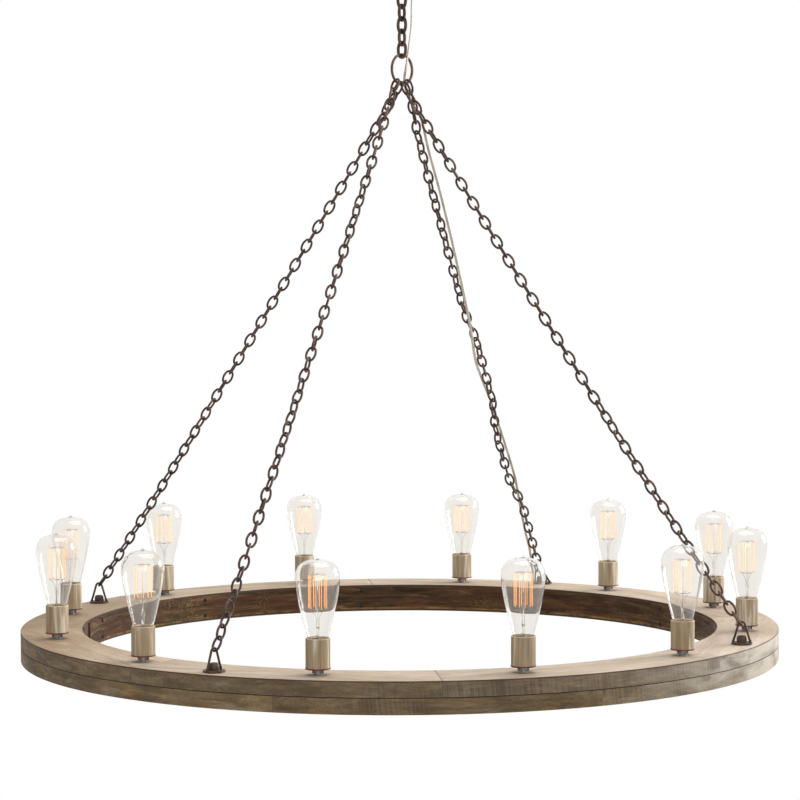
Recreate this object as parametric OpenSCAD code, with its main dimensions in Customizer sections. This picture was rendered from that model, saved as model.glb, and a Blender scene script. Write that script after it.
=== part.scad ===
// Wagon wheel chandelier: a wooden wheel rim in two layers of felloes, an iron band inside it,
// twelve lamps on top, and four chains that gather in a ring under a ceiling canopy.
// Millimetres, +Z up. The origin is the centre of the ceiling bracket, on the ceiling.

/* [Wheel rim] */
// Outer diameter of the wheel
wheel_d = 1219.2; // [1100:0.1:1400]
// Width of the rim, from its inner to its outer edge
rim_w = 98; // [86:0.1:110]
// Thickness of each of the rim's two layers
layer_t = 23.8; // [21:0.1:32]
// Open joint between two felloes of one layer
felloe_gap = 0.5; // [0.3:0.1:1]
// Width of the wiring groove in the lower layer
groove_w = 18; // [17:0.5:22]
// Depth of the wiring groove
groove_depth = 12; // [10:0.5:14]

/* [Inner band] */
// Height of the iron band
band_h = 39.5; // [36:0.5:42]
// Thickness of the iron band
band_t = 3; // [1.5:0.5:4]
// Distance between the two screws of a pair
screw_gauge = 27.5; // [24:0.5:28]
// Diameter of a band screw's shank
screw_d = 3.5; // [3:0.1:4.5]
// Diameter of a band screw's round head
screw_head_d = 7; // [6:0.5:8]
// Height of a band screw's head
screw_head_h = 2.2; // [1.5:0.1:3]
// Length of a band screw under its head
screw_len = 18; // [12:1:22]

/* [Hangers] */
// Distance from the wheel's outer edge to a hanger's bolt
hanger_edge = 26.6; // [24:0.1:30]
// Diameter of a hanger's round plate
plate_d = 32; // [31:0.5:38]
// Thickness of a hanger's plate
plate_t = 3; // [2:0.5:4]
// Diameter of a hanger's bolt
bolt_d = 8; // [6:0.5:9]
// Diameter of the bolt's domed head
bolt_head_d = 15.5; // [14:0.5:17]
// Height of the bolt's domed head
bolt_head_h = 10.5; // [8:0.5:12]
// Wire of the bail that stands on the plate
bail_wire = 3.5; // [2.8:0.1:3.8]
// Distance between the bail's two feet
bail_span = 25.5; // [24:0.5:26]
// Height of the bail above its plate
bail_h = 33; // [30:0.5:38]
// Radius of the bail's tip, to the middle of its wire
bail_tip_r = 5.2; // [5:0.1:6]

/* [Chain and ring] */
// Wire of the links of the four legs
link_wire = 3.7; // [3.4:0.1:3.9]
// Distance from one of these links to the next
link_pitch = 19; // [18.9:0.1:22]
// Width of these links, to the middle of the wire
link_w = 13.8; // [13.2:0.1:15]
// Wire of the stouter links between the ceiling and the ring
top_wire = 5.2; // [4.8:0.1:5.4]
// Distance from one stout link to the next
top_pitch = 19.8; // [19.5:0.1:23]
// Width of the stout links, to the middle of the wire
top_w = 14.8; // [14.6:0.1:16]
// Diameter of the hanging ring, to the middle of its wire
ring_d = 48.5; // [46:0.5:54]
// Wire of the hanging ring
ring_wire = 4.5; // [4.2:0.1:4.8]
// Height from the rim's top up to the bottom of the ring
leg_drop = 869.7; // [790:0.1:990]
// Distance of the ring from the wheel's centre line
ring_offset = 7; // [0:0.5:10]

/* [Ceiling fitting] */
// Diameter of the canopy
canopy_d = 128; // [120:1:160]
// Depth of the canopy
canopy_h = 26; // [24:1:36]
// Thickness of the canopy's sheet
canopy_t = 1.2; // [0.8:0.1:1.6]
// Distance between the two ceiling screws
screw_spacing = 88.9; // [82:0.1:92]
// Diameter of the hollow stem
stem_d = 10; // [9.5:0.1:11]
// Wire of the canopy's loop
loop_wire = 6; // [5:0.1:6.2]
// Diameter of the canopy's loop, to the middle of its wire
loop_d = 21; // [20:0.5:30]
// Diameter of the knurled collar that holds the canopy
collar_d = 26; // [24:1:30]
// Height of the collar
collar_h = 8; // [6:0.5:12]

/* [Lamps] */
// Distance from the wheel's outer edge to a lamp
lamp_edge = 49; // [47:0.1:50]
// Diameter of a lamp's threaded nipple
nipple_d = 10; // [9.5:0.1:10.2]
// Diameter of the coupling that lifts the socket off the rim
coupling_d = 11.6; // [11.4:0.1:14]
// Height of that coupling
coupling_h = 8.4; // [6:0.1:12]
// Thickness of the red fibre disc
disc_t = 2; // [1.5:0.1:3]
// Diameter of the fibre disc
disc_d = 36; // [35.5:0.1:38]
// Diameter of the socket's sleeve
sleeve_d = 35; // [34.6:0.1:35.4]
// Height of the sleeve
sleeve_h = 42; // [41:0.5:46]
// Wall of the sleeve
sleeve_t = 1.6; // [1:0.1:1.8]
// Diameter of the bulb's screw cap, over its thread
cap_d = 26.1; // [25.8:0.1:26.3]
// Height of the screw cap, without its contact
cap_h = 21; // [20:0.5:22]
// Pitch of the screw cap's thread
thread_pitch = 3.629; // [3.6:0.001:3.7]
// Wall of the bulb's glass
glass_t = 0.9; // [0.6:0.1:1.2]
// Radius of the cage of filament
cage_r = 13; // [11:0.5:15]

/* [Hidden] */
$fn = 64;
lamps = 12;
hangers = 4;
felloes = 8;
tip = 0.01;

// Angles around the wheel, in degrees from +X
lamp_a = 18.3;
hanger_a = 63.3;
upper_joint_a = 5.7;
lower_joint_a = 28.2;
band_open_from = 176.3;
band_open_to = 183.5;
// The band's pairs of screws: ten at even steps, and one beside the band's other end
screw_angles = concat([for (k = [0:9]) 167.7 - 34.85 * k], [band_open_to + 8.6]);

// Clearances
play = 0.15;
running = 0.3;
snug = 0.1;
rest = 0.05;

// Radii of the wheel
wheel_r = wheel_d / 2;
rim_in = wheel_r - rim_w;
lamp_r = wheel_r - lamp_edge;
hanger_r = wheel_r - hanger_edge;
band_r = rim_in - snug;
band_z = -layer_t;

// Half the length of a link of the legs, and of a stout link
link_half = (link_pitch + link_wire + play) / 2;
top_half = (top_pitch + top_wire + play) / 2;

// Ceiling fitting, from the ceiling down
bracket_l = screw_spacing + 22;
bracket_w = 20;
bracket_t = 2.5;
slot_w = 4.6;
slot_l = 12;
nut_h = 3;
loop_sink = 1.5;
collar_z = -canopy_h;
loop_z = collar_z - collar_h - loop_d / 2 - loop_wire / 2 + loop_sink;
loop_low = loop_z - loop_d / 2;
loop_a = -34;
upper_link_a = 55;
upper_link_z = loop_low + (loop_wire + top_wire) / 2 + play - top_half;

// Top chain: the turn of each link, from the upper link down
top_turns = [-35, 55, -35, 54, -37];
function top_link_z(k) = upper_link_z - (k + 1) * top_pitch;
top_low = top_link_z(len(top_turns) - 1) - top_half;

// Hanging ring
ring_r = ring_d / 2;
ring_a = 48;
ring_top = top_low + (ring_wire + top_wire) / 2 + play;
ring_z = ring_top - ring_r;
ring_low = ring_z - ring_r;

// The wheel hangs with its rim's top at this height
rim_z = ring_low - leg_drop;
wheel_at = [-ring_offset, 0, rim_z];

// Hangers in the order rear right, rear left, front left, front right
leg_names = ["chain_rear_right", "chain_rear_left", "chain_front_left", "chain_front_right"];
bail_turns = [153.3, 170, 47, -12];
bail_leans = [33, 0, 0, 0];
ring_places = [36, -10, -36, 10];
// Links that a leg has beyond those that its length needs at the full pitch
leg_extras = [1, 0, 0, 1];
// How far a leg's links swing from a steady turn, by link from the bail up
leg_swirls = [
    [[0, 0], [2, 20], [13, 10], [18, -80], [24, -10], [30, -100], [36, -25], [41, -105],
        [45, -40], [52, -140], [54, -180]],
    [[0, 0], [2, -10], [19, -5], [22, 15], [46, 35], [49, 15], [53, 0]],
    [[0, 0], [4, 0], [8, -30], [12, -10], [23, 55], [33, 110], [37, 130], [45, 205], [50, 215],
        [53, 180]],
    [[0, 0], [5, 0], [7, -30], [17, -35], [23, -100], [43, -125], [47, -145], [51, -155],
        [54, -180]]
];
// How far each leg sags below the straight line from its bail to the ring
leg_sags = [8, 5, 4.5, 7.5];
// How far a leg's joints stand aside, by joint from the bail up: the rear right leg kinks
// three times, where the supply cord is wound round it
straight = [[0, 0], [1, 0]];
leg_sways = [
    [[0, 0], [8, -3.5], [9, -2], [10, 3], [11, 7], [12, 8.5], [16, 9], [18, 7], [21, -1.5],
        [28, -1.5], [30, 4], [32, 6.5], [43, 6], [50, 5.5], [54, 0]],
    straight, straight, straight
];

// Bail: half the angle of its round tip, and the length of its straight sides
bail_foot = bail_wire / 2;
bail_rise = bail_h - bail_wire - bail_tip_r;
bail_half = bail_span / 2;
bail_arc = atan2(bail_rise, bail_half) + asin(bail_tip_r / norm([bail_rise, bail_half]));
bail_side_l = sqrt(bail_rise * bail_rise + bail_half * bail_half - bail_tip_r * bail_tip_r);
peg_d = bail_wire + 0.6;

// Hanger's nut and washer, in a pocket under the rim
pocket_d = 24;
pocket_depth = 9.5;
washer_d = 20;
washer_t = 1.6;
bolt_nut_d = 15;
bolt_nut_h = 6.5;
bolt_up = 1;

// Lamp, from the rim's top up
disc_z = coupling_h;
sleeve_z = disc_z + disc_t;
sleeve_top = sleeve_z + sleeve_h;
sleeve_in = sleeve_d / 2 - sleeve_t;
lip_r = 1.4;
body_r = sleeve_in - running;
shell_t = 0.5;
shell_in = cap_d / 2 + running;
body_in = shell_in + shell_t + snug;
floor_t = 6;
floor_z = sleeve_z + floor_t;
body_top = sleeve_top - 6;
shell_top = sleeve_top - 3;
nipple_bore = 7.2;
nipple_sink = 4;
nipple_top = sleeve_z + nipple_sink;
nipple_low = -layer_t - nut_h - 2;
nipple_nut_d = 14.5;
grub_d = 4;
grub_l = 2.4;
wire_d = 2;
wire_gap = 1.7;
lead_d = 1.5;
wire_z = -layer_t - groove_depth + wire_d / 2 + snug;

// Bulb, from the top edge of its screw cap
cap_top = sleeve_top - 2;
cap_wall = 0.45;
thread_depth = 0.4;
skirt_h = 3;
contact_drop = 3.7;
contact_d = 9;
contact_t = 1.5;
tongue_w = 6;
tongue_t = 0.6;
tongue_top = cap_top - cap_h - contact_drop - running;
cage_low = 43.4;
cage_high = 90.5;
strands = 10;
strand_d = 0.7;
hook_d = 1.1;
arm_d = 0.8;
rod_d = 2.4;

// Outline of the glass as radius and height above the cap, from the neck to the shoulder
glass_keys = [
    [11.6, -6], [11.6, -1.2], [12.3, 0.5], [15, 2.8], [17.5, 12], [20.4, 23.4], [23.9, 38],
    [27, 52], [29.8, 67], [31.4, 80], [31.6, 87], [31, 93.5], [29, 99.5], [25.2, 105],
    [19, 109.2], [12, 111.2], [5, 112]
];
nub_r = 2.9;
nub_h = 3.4;

// Supply cord: a flat twin lead, with its route from the canopy down to the rim
cord_w = 4.8;
cord_t = 2.4;
cord_sides = 8;
cord_hole_a = 64.2;
bushing_d = 9;
cord_hole_x = 17;
// Down from the canopy beside the top chain, in front of the ring and then through it
cord_top = [
    [17, 0, -12], [17, 0, -30], [16.5, 0, -60], [15.5, 0, -90], [15, 0, -120], [13, 0, -140],
    [11, -0.5, -156], [9.2, 0, -172], [7.6, 3, -182], [6, 8.5, -192], [4.3, 16, -202]
];
// Behind the rear right leg, then beside it, in front of it and beside it again
cord_middle = [
    [4.1, 21.5, -212], [7, 26.5, -226], [14, 37, -241], [23, 46.5, -256], [32.3, 48, -273],
    [42.4, 60, -317.6], [62.5, 106, -388], [82, 145, -465], [91, 164, -504],
    [102, 188.5, -551], [114.2, 221, -609], [124.2, 264, -668], [134.2, 293.5, -697]
];
// Back behind the leg twice more, down to the rim
cord_low = [
    [143.2, 310, -720], [151.5, 323.5, -738.6], [159, 339, -762], [170.6, 356, -794],
    [182, 372, -829], [191, 391, -857], [199.3, 412, -885.4], [204.2, 427, -908],
    [208.6, 441.5, -933], [215.5, 462, -965], [221.5, 478, -992], [228, 491.5, -1016],
    [232, 500.5, -1038]
];

// ---- helpers ----

function bulb_node(i, piece) = str("bulb_", i < 10 ? "0" : "", i, "_", piece);
function unit(v) = v / norm(v);
function polar(r, a, z = 0) = [r * cos(a), r * sin(a), z];
// The part of v that is square to the unit vector e
function square_to(v, e) = unit(v - (v * e) * e);
// v turned by angle a about the unit vector e, to which it is square
function turned(v, e, a) = v * cos(a) + cross(e, v) * sin(a);
// A smooth curve through keys, with steps points from one key to the next
function curve_point(a, b, c, d, t) =
    0.5 * (2 * b + (c - a) * t + (2 * a - 5 * b + 4 * c - d) * t * t
    + (3 * b - a - 3 * c + d) * t * t * t);
function smooth(keys, steps) = concat(
    [for (i = [0:len(keys) - 2]) for (s = [0:steps - 1])
        curve_point(keys[max(i - 1, 0)], keys[i], keys[i + 1], keys[min(i + 2, len(keys) - 1)],
            s / steps)],
    [keys[len(keys) - 1]]
);
// An outline moved to its left by t
function moved_in(path, t) = [
    for (i = [0:len(path) - 1])
        let (d = unit(path[min(i + 1, len(path) - 1)] - path[max(i - 1, 0)]))
        path[i] + t * [-d[1], d[0]]
];

module torus(r, wire) {
    rotate_extrude() translate([r, 0]) circle(d = wire);
}

module arc_wire(r, wire, from, to) {
    rotate([0, 0, from]) rotate_extrude(angle = to - from) translate([r, 0]) circle(d = wire);
}

// A straight wire from p to q
module wire_between(p, q, d) {
    v = q - p;
    translate(p)
        rotate([0, acos(v[2] / norm(v)), atan2(v[1], v[0])])
            cylinder(d = d, h = norm(v));
}

module tube(d, bore, h) {
    difference() {
        cylinder(d = d, h = h);
        translate([0, 0, -1]) cylinder(d = bore, h = h + 2);
    }
}

module hex_nut(d, bore, h) {
    difference() {
        cylinder(d = d, h = h, $fn = 6);
        translate([0, 0, -1]) cylinder(d = bore, h = h + 2);
    }
}

// A chain link in the XZ plane: half its length, its width and its wire
module link(half, w, wire) {
    side = half - w / 2;
    rotate([90, 0, 0])
        for (s = [0, 1]) rotate([0, 0, 180 * s]) {
            translate([0, side, 0]) arc_wire(w / 2, wire, 0, 180);
            translate([w / 2, 0, 0])
                rotate([90, 0, 0]) cylinder(d = wire, h = 2 * side, center = true);
        }
}

module stout_link() {
    link(top_half, top_w, top_wire);
}

module on_wheel(z = 0) {
    translate(wheel_at + [0, 0, z]) children();
}

module at_lamp(i, z = 0) {
    on_wheel(z) rotate([0, 0, lamp_a + 360 / lamps * i]) translate([lamp_r, 0, 0]) children();
}

module at_hanger(j, z = 0) {
    on_wheel(z) translate(polar(hanger_r, hanger_a + 90 * j)) children();
}

// ---- ceiling fitting ----

module ceiling_bracket() color("silver") {
    difference() {
        translate([-bracket_l / 2, -bracket_w / 2, -bracket_t])
            cube([bracket_l, bracket_w, bracket_t]);
        for (s = [-1, 1]) translate([s * screw_spacing / 2, 0, -bracket_t - 1])
            linear_extrude(bracket_t + 2) ceiling_slot();
        translate([0, 0, -bracket_t - 1]) cylinder(d = stem_d + 2 * snug, h = bracket_t + 2);
    }
    translate([0, 0, collar_z - collar_h / 2]) tube(stem_d, stem_d - 3, canopy_h + collar_h / 2 - 1);
    translate([0, 0, -bracket_t - nut_h - rest]) hex_nut(stem_d + 6, stem_d + 2 * rest, nut_h);
}

module ceiling_slot() {
    square([slot_l - slot_w, slot_w], center = true);
    for (s = [-1, 1]) translate([s * (slot_l - slot_w) / 2, 0]) circle(d = slot_w);
}

// The canopy's outline: a rim on the ceiling, a round dome and a flat middle
function canopy_outline(r, h) = concat(
    [[r, 0], [r, -0.2 * h]],
    [for (a = [10:10:80]) [r - 0.46 * r * (1 - cos(a)), -0.2 * h - 0.8 * h * sin(a)]],
    [[0.5 * r, -h], [0, -h]]
);

module canopy() color("saddlebrown") difference() {
    rotate_extrude() polygon(concat(canopy_outline(canopy_d / 2, canopy_h), [[0, 0]]));
    rotate_extrude() polygon(concat(
        [[0, 1], [canopy_d / 2 - canopy_t, 1]],
        canopy_outline(canopy_d / 2 - canopy_t, canopy_h - canopy_t)
    ));
    translate([0, 0, -canopy_h - 1]) cylinder(d = stem_d + 2 * snug, h = canopy_h);
    translate([cord_hole_x, 0, -canopy_h - 1]) cylinder(d = bushing_d, h = canopy_h);
}

module canopy_loop() color("saddlebrown") {
    difference() {
        translate([0, 0, collar_z - collar_h]) cylinder(d = collar_d, h = collar_h - rest);
        translate([0, 0, collar_z - collar_h / 2]) cylinder(d = stem_d + 2 * rest, h = collar_h);
    }
    translate([0, 0, loop_z]) rotate([0, 0, loop_a]) rotate([90, 0, 0]) torus(loop_d / 2, loop_wire);
}

// ---- chain and ring ----

module upper_link() color("saddlebrown") {
    translate([0, 0, upper_link_z]) rotate([0, 0, upper_link_a]) stout_link();
}

module top_chain() color("saddlebrown") {
    for (k = [0:len(top_turns) - 1])
        translate([0, 0, top_link_z(k)]) rotate([0, 0, top_turns[k]]) stout_link();
}

module hanging_ring() color("saddlebrown") {
    translate([0, 0, ring_z]) rotate([0, 0, ring_a]) rotate([90, 0, 0]) torus(ring_r, ring_wire);
}

// Leg j: unit vectors of its bail, along its base and up to its tip
function bail_base(j) = polar(1, bail_turns[j]);
function bail_side(j) = [-bail_base(j)[1], bail_base(j)[0], 0];
function bail_up(j) = bail_side(j) * sin(bail_leans[j]) + [0, 0, cos(bail_leans[j])];
function bail_centre(j) = wheel_at + polar(hanger_r, hanger_a + 90 * j, plate_t + bail_foot)
    + bail_rise * bail_up(j);

// Leg j: where its top link holds the ring, and the ring's direction there
function ring_point(j) = [0, 0, ring_z] + ring_r * (sin(ring_places[j]) * polar(1, ring_a)
    - [0, 0, cos(ring_places[j])]);
function ring_tangent(j) = cos(ring_places[j]) * polar(1, ring_a) + [0, 0, sin(ring_places[j])];

// Leg j: where its bottom link holds the bail, and the bail's direction there
function hook_angle(j) = let (v = ring_point(j) - bail_centre(j))
    atan2(v * bail_base(j), v * bail_up(j));
function bail_point(j) = bail_centre(j)
    + bail_tip_r * (sin(hook_angle(j)) * bail_base(j) + cos(hook_angle(j)) * bail_up(j));
function bail_tangent(j) = cos(hook_angle(j)) * bail_base(j) - sin(hook_angle(j)) * bail_up(j);

// Leg j: how far its joint k stands from the straight line, with the leg in n links
function aside(j, k, n, e) = lookup(k, leg_sways[j]) * unit(cross(e, [0, 0, 1]))
    + leg_sags[j] * (1 - pow(2 * k / n - 1, 4)) * square_to([0, 0, -1], e);
function total(v, n) = n == 0 ? 0 : v[n - 1] + total(v, n - 1);

module leg(j) {
    e = unit(ring_point(j) - bail_point(j));
    first = bail_point(j) + e * (link_half - (bail_wire + link_wire) / 2 - play);
    last = ring_point(j) - e * (link_half - (ring_wire + link_wire) / 2 - play);
    count = ceil(norm(last - first) / link_pitch) + leg_extras[j];
    n = count + 1;
    // Joints between links: a link that leans takes up less of the straight line
    out = [for (k = [0:n]) aside(j, k, n, e)];
    leaps = [for (k = [0:count]) norm(out[k + 1] - out[k])];
    spare = total([for (d = leaps) d * d / (2 * link_pitch)], n);
    step = (norm(last - first) + link_pitch + spare) / n;
    climbs = [for (d = leaps) sqrt(step * step - d * d)];
    joints = [for (k = [0:n]) first + (total(climbs, k) - link_pitch / 2) * e + out[k]];
    start = square_to(bail_tangent(j), e);
    end = square_to(ring_tangent(j), e);
    // The slow turn along the leg that brings its top link square to the ring
    turn = atan2(cross(start, end) * e, start * end) - 90 * count;
    drift = turn - 180 * round(turn / 180);
    for (i = [0:count]) {
        share = i / count;
        swirl = lookup(i, leg_swirls[j]);
        z = unit(joints[i + 1] - joints[i]);
        y = square_to(turned(start, e, 90 * i + drift * share + swirl), z);
        x = cross(y, z);
        p = (joints[i] + joints[i + 1]) / 2;
        multmatrix([
            [x[0], y[0], z[0], p[0]],
            [x[1], y[1], z[1], p[1]],
            [x[2], y[2], z[2], p[2]]
        ]) link(link_half, link_w, link_wire);
    }
}

module chain_rear_right() color("saddlebrown") leg(0);

module chain_rear_left() color("saddlebrown") leg(1);

module chain_front_left() color("saddlebrown") leg(2);

module chain_front_right() color("saddlebrown") leg(3);

// ---- hangers ----

module hanger_plates() color("saddlebrown") {
    for (j = [0:hangers - 1]) at_hanger(j) difference() {
        cylinder(d = plate_d, h = plate_t);
        translate([0, 0, -1]) cylinder(d = bolt_d + 2 * snug, h = plate_t + 2);
        rotate([0, 0, bail_turns[j]]) for (s = [-1, 1])
            translate([s * bail_half, 0, -1]) cylinder(d = peg_d + 2 * rest, h = plate_t + 2);
    }
}

// A bail in the XZ plane, between its two feet
module bail_wire_form() {
    translate([0, 0, bail_rise]) rotate([90, 0, 0]) rotate([0, 0, 90 - bail_arc]) {
        arc_wire(bail_tip_r, bail_wire, 0, 2 * bail_arc);
        translate([bail_tip_r, 0, 0]) rotate([90, 0, 0]) cylinder(d = bail_wire, h = bail_side_l);
        rotate([0, 0, 2 * bail_arc]) translate([bail_tip_r, 0, 0]) {
            rotate([-90, 0, 0]) cylinder(d = bail_wire, h = bail_side_l);
            sphere(d = bail_wire + 0.1);
        }
    }
}

module hanger_bails() color("saddlebrown") {
    for (j = [0:hangers - 1]) at_hanger(j, plate_t + bail_foot) rotate([0, 0, bail_turns[j]]) {
        for (s = [-1, 1]) translate([s * bail_half, 0, -bail_foot - plate_t + rest])
            cylinder(d = peg_d, h = bail_foot + plate_t + bail_foot);
        rotate([-bail_leans[j], 0, 0]) bail_wire_form();
    }
}

module hanger_bolts() color("saddlebrown") {
    skirt = 0.45 * bolt_head_h;
    dome = bolt_head_h - skirt;
    for (j = [0:hangers - 1]) {
        at_hanger(j, -2 * layer_t + bolt_up) cylinder(d = bolt_d, h = 2 * layer_t - bolt_up + plate_t);
        at_hanger(j, plate_t) rotate_extrude() polygon(concat(
            [[0, 0], [bolt_head_d / 2, 0]],
            [for (a = [0:15:90]) [bolt_head_d / 2 * (0.55 + 0.45 * cos(a)), skirt + dome * sin(a)]],
            [[0, bolt_head_h]]
        ));
    }
}

module hanger_nuts() color("dimgray") {
    for (j = [0:hangers - 1]) at_hanger(j, -2 * layer_t + pocket_depth) {
        translate([0, 0, -washer_t]) tube(washer_d, bolt_d + 2 * snug, washer_t);
        translate([0, 0, -washer_t - bolt_nut_h]) hex_nut(bolt_nut_d, bolt_d + 2 * rest, bolt_nut_h);
    }
}

// ---- rim ----

// One layer of felloes, with its first joint at angle a
module felloe_ring(a) {
    gap_a = felloe_gap / wheel_r * 180 / PI;
    for (k = [0:felloes - 1])
        rotate([0, 0, a + 360 / felloes * k + gap_a / 2])
            rotate_extrude(angle = 360 / felloes - gap_a, $fn = 320)
                translate([rim_in, 0]) square([rim_w, layer_t]);
}

// The pilot holes of one row of band screws
module screw_pilots(z) {
    for (a = screw_angles) on_wheel(z) rotate([0, 0, a])
        translate([rim_in - 1, 0, 0]) rotate([0, 90, 0]) cylinder(d = screw_d + 2 * rest, h = screw_len);
}

module rim_upper() color("tan") difference() {
    on_wheel(-layer_t) felloe_ring(upper_joint_a);
    for (i = [0:lamps - 1]) at_lamp(i, -layer_t - 1) cylinder(d = nipple_d + 2 * snug, h = layer_t + 2);
    for (j = [0:hangers - 1]) at_hanger(j, -layer_t - 1) cylinder(d = bolt_d + 2 * snug, h = layer_t + 2);
    on_wheel(-layer_t - 1) translate(polar(lamp_r, cord_hole_a)) cylinder(d = cord_w + 2, h = layer_t + 2);
    screw_pilots(band_z + screw_gauge / 2);
}

module rim_lower() color("tan") difference() {
    on_wheel(-2 * layer_t) felloe_ring(lower_joint_a);
    on_wheel(-layer_t - groove_depth) rotate_extrude($fn = 320)
        translate([lamp_r - groove_w / 2, 0]) square([groove_w, groove_depth + 1]);
    for (j = [0:hangers - 1]) {
        at_hanger(j, -2 * layer_t - 1) cylinder(d = bolt_d + 2 * snug, h = layer_t + 2);
        at_hanger(j, -2 * layer_t - 1) cylinder(d = pocket_d, h = pocket_depth + 1);
    }
    screw_pilots(band_z - screw_gauge / 2);
}

// ---- inner band ----

module inner_band() color("saddlebrown") difference() {
    on_wheel(band_z - band_h / 2) rotate([0, 0, band_open_to])
        rotate_extrude(angle = 360 - band_open_to + band_open_from, $fn = 320)
            translate([band_r - band_t, 0]) square([band_t, band_h]);
    for (s = [-1, 1]) for (a = screw_angles)
        on_wheel(band_z + s * screw_gauge / 2) rotate([0, 0, a])
            translate([band_r - 2 * band_t, 0, 0]) rotate([0, 90, 0])
                cylinder(d = screw_d + 2 * snug, h = 3 * band_t);
}

module band_screws() color("dimgray") {
    for (s = [-1, 1]) for (a = screw_angles)
        on_wheel(band_z + s * screw_gauge / 2) rotate([0, 0, a])
            translate([band_r - band_t - rest, 0, 0]) rotate([0, 90, 0]) {
                cylinder(d = screw_d, h = screw_len - 2);
                rotate([180, 0, 0]) rotate_extrude() polygon(concat(
                    [[0, 0]],
                    [for (t = [0:15:90]) [screw_head_d / 2 * cos(t), screw_head_h * sin(t)]]
                ));
            }
}

// ---- sockets ----

module socket_nipples() color("gray") {
    for (i = [0:lamps - 1]) {
        at_lamp(i, nipple_low) tube(nipple_d, nipple_bore, nipple_top - nipple_low);
        at_lamp(i, -layer_t - nut_h) hex_nut(nipple_nut_d, nipple_d + 2 * rest, nut_h);
        at_lamp(i) difference() {
            union() {
                cylinder(d = coupling_d, h = coupling_h);
                rotate([0, 90, -lamp_a - 360 / lamps * i]) translate([-coupling_h / 2, 0, 0])
                    cylinder(d = grub_d, h = coupling_d + 2 * grub_l, center = true);
            }
            translate([0, 0, -1]) cylinder(d = nipple_d + 2 * rest, h = coupling_h + 2);
        }
    }
}

module fibre_discs() color("brown") {
    for (i = [0:lamps - 1]) at_lamp(i, disc_z) tube(disc_d, nipple_d + 2 * snug, disc_t);
}

module socket_sleeves() color("tan") {
    lip = [for (a = [0:15:90]) [sleeve_d / 2 - lip_r * (1 - cos(a)), sleeve_h - lip_r * (1 - sin(a))]];
    for (i = [0:lamps - 1]) at_lamp(i, sleeve_z) rotate_extrude()
        polygon(concat([[sleeve_in, 0], [sleeve_d / 2, 0]], lip, [[sleeve_in, sleeve_h]]));
}

// A bent strip that touches the bulb's contact
module tongue() {
    low = snug;
    high = tongue_top - floor_z;
    translate([0, tongue_w / 2, 0]) rotate([90, 0, 0]) linear_extrude(tongue_w) polygon([
        [-5, low], [6, low], [6, high - tongue_t], [5, high], [-4, high], [-4, high - tongue_t],
        [5, high - tongue_t], [5, low + tongue_t], [-5, low + tongue_t]
    ]);
}

module lamp_sockets() {
    for (i = [0:lamps - 1]) {
        color("black") at_lamp(i, sleeve_z) difference() {
            cylinder(r = body_r, h = body_top - sleeve_z);
            translate([0, 0, floor_t]) cylinder(r = body_in, h = sleeve_h);
            translate([0, 0, -1]) cylinder(d = nipple_d + 2 * snug, h = nipple_sink + 1 + snug);
        }
        color("gold") at_lamp(i, floor_z + snug) tube(
            2 * (shell_in + shell_t), 2 * shell_in, shell_top - floor_z - snug
        );
        color("gold") at_lamp(i, floor_z) tongue();
    }
}

// ---- wiring ----

module ring_wiring() color("ivory") {
    for (s = [-1, 1]) {
        on_wheel(wire_z) rotate_extrude($fn = 320)
            translate([lamp_r + s * wire_gap, 0]) circle(d = wire_d, $fn = 24);
        for (i = [0:lamps - 1]) at_lamp(i, wire_z)
            translate([s * wire_gap, 0, 0]) cylinder(d = lead_d, h = nipple_top - rest - wire_z);
    }
}

// The cord's whole route, with its last points in the rim's cord hole
function cord_points() = concat(cord_top, cord_middle, cord_low, [
    wheel_at + polar(lamp_r, cord_hole_a, 30),
    wheel_at + polar(lamp_r, cord_hole_a, 6),
    wheel_at + polar(lamp_r, cord_hole_a, -8),
    wheel_at + polar(lamp_r, cord_hole_a, wire_z + wire_d / 2 + rest)
]);

// A flat tube along a path: a ring of points at each of the path's points
module flat_tube(path, w, t, sides) {
    last = len(path) - 1;
    function along(i) = unit(path[min(i + 1, last)] - path[max(i - 1, 0)]);
    function across(i) = square_to(polar(1, 63.3 - 90), along(i));
    points = [for (i = [0:last]) for (k = [0:sides - 1])
        path[i] + w / 2 * cos(360 * k / sides) * across(i)
        + t / 2 * sin(360 * k / sides) * cross(along(i), across(i))];
    faces = concat(
        [[for (k = [0:sides - 1]) k]],
        [for (i = [0:last - 1]) for (k = [0:sides - 1]) let (m = (k + 1) % sides, a = i * sides)
            [a + k, a + sides + k, a + sides + m, a + m]],
        [[for (k = [0:sides - 1]) (last + 1) * sides - 1 - k]]
    );
    polyhedron(points, faces);
}

module supply_cord() color("ivory") {
    flat_tube(smooth(cord_points(), 2), cord_w, cord_t, cord_sides);
}

// ---- bulbs ----

module bulb_contact(i) color("silver") at_lamp(i, cap_top - cap_h) {
    // The dark glass insulator, and under it the round contact
    translate([0, 0, -contact_drop + contact_t]) rotate_extrude() polygon([
        [0, 0], [contact_d / 2, 0], [cap_d / 2 - 2.4, contact_drop - contact_t], [0, contact_drop - contact_t]
    ]);
    translate([0, 0, -contact_drop]) rotate_extrude() polygon([
        [0, 0], [contact_d / 2 - 1.5, 0], [contact_d / 2, contact_t], [0, contact_t]
    ]);
}

// Radius of the cap's rolled thread at height h below its skirt
function thread_r(h) = cap_d / 2 - thread_depth * (1 - cos(360 * h / thread_pitch));

module bulb_cap(i) color("gold") at_lamp(i, cap_top) {
    threads = [for (h = [0:thread_pitch / 6:cap_h - skirt_h - 1.5]) [thread_r(h), -skirt_h - h]];
    outer = concat([[cap_d / 2, 0]], threads, [[cap_d / 2 - 1.6, -cap_h]]);
    inner = [for (k = [len(outer) - 1:-1:0]) outer[k] - [cap_wall, 0]];
    rotate_extrude() polygon(concat(outer, inner));
}

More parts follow.
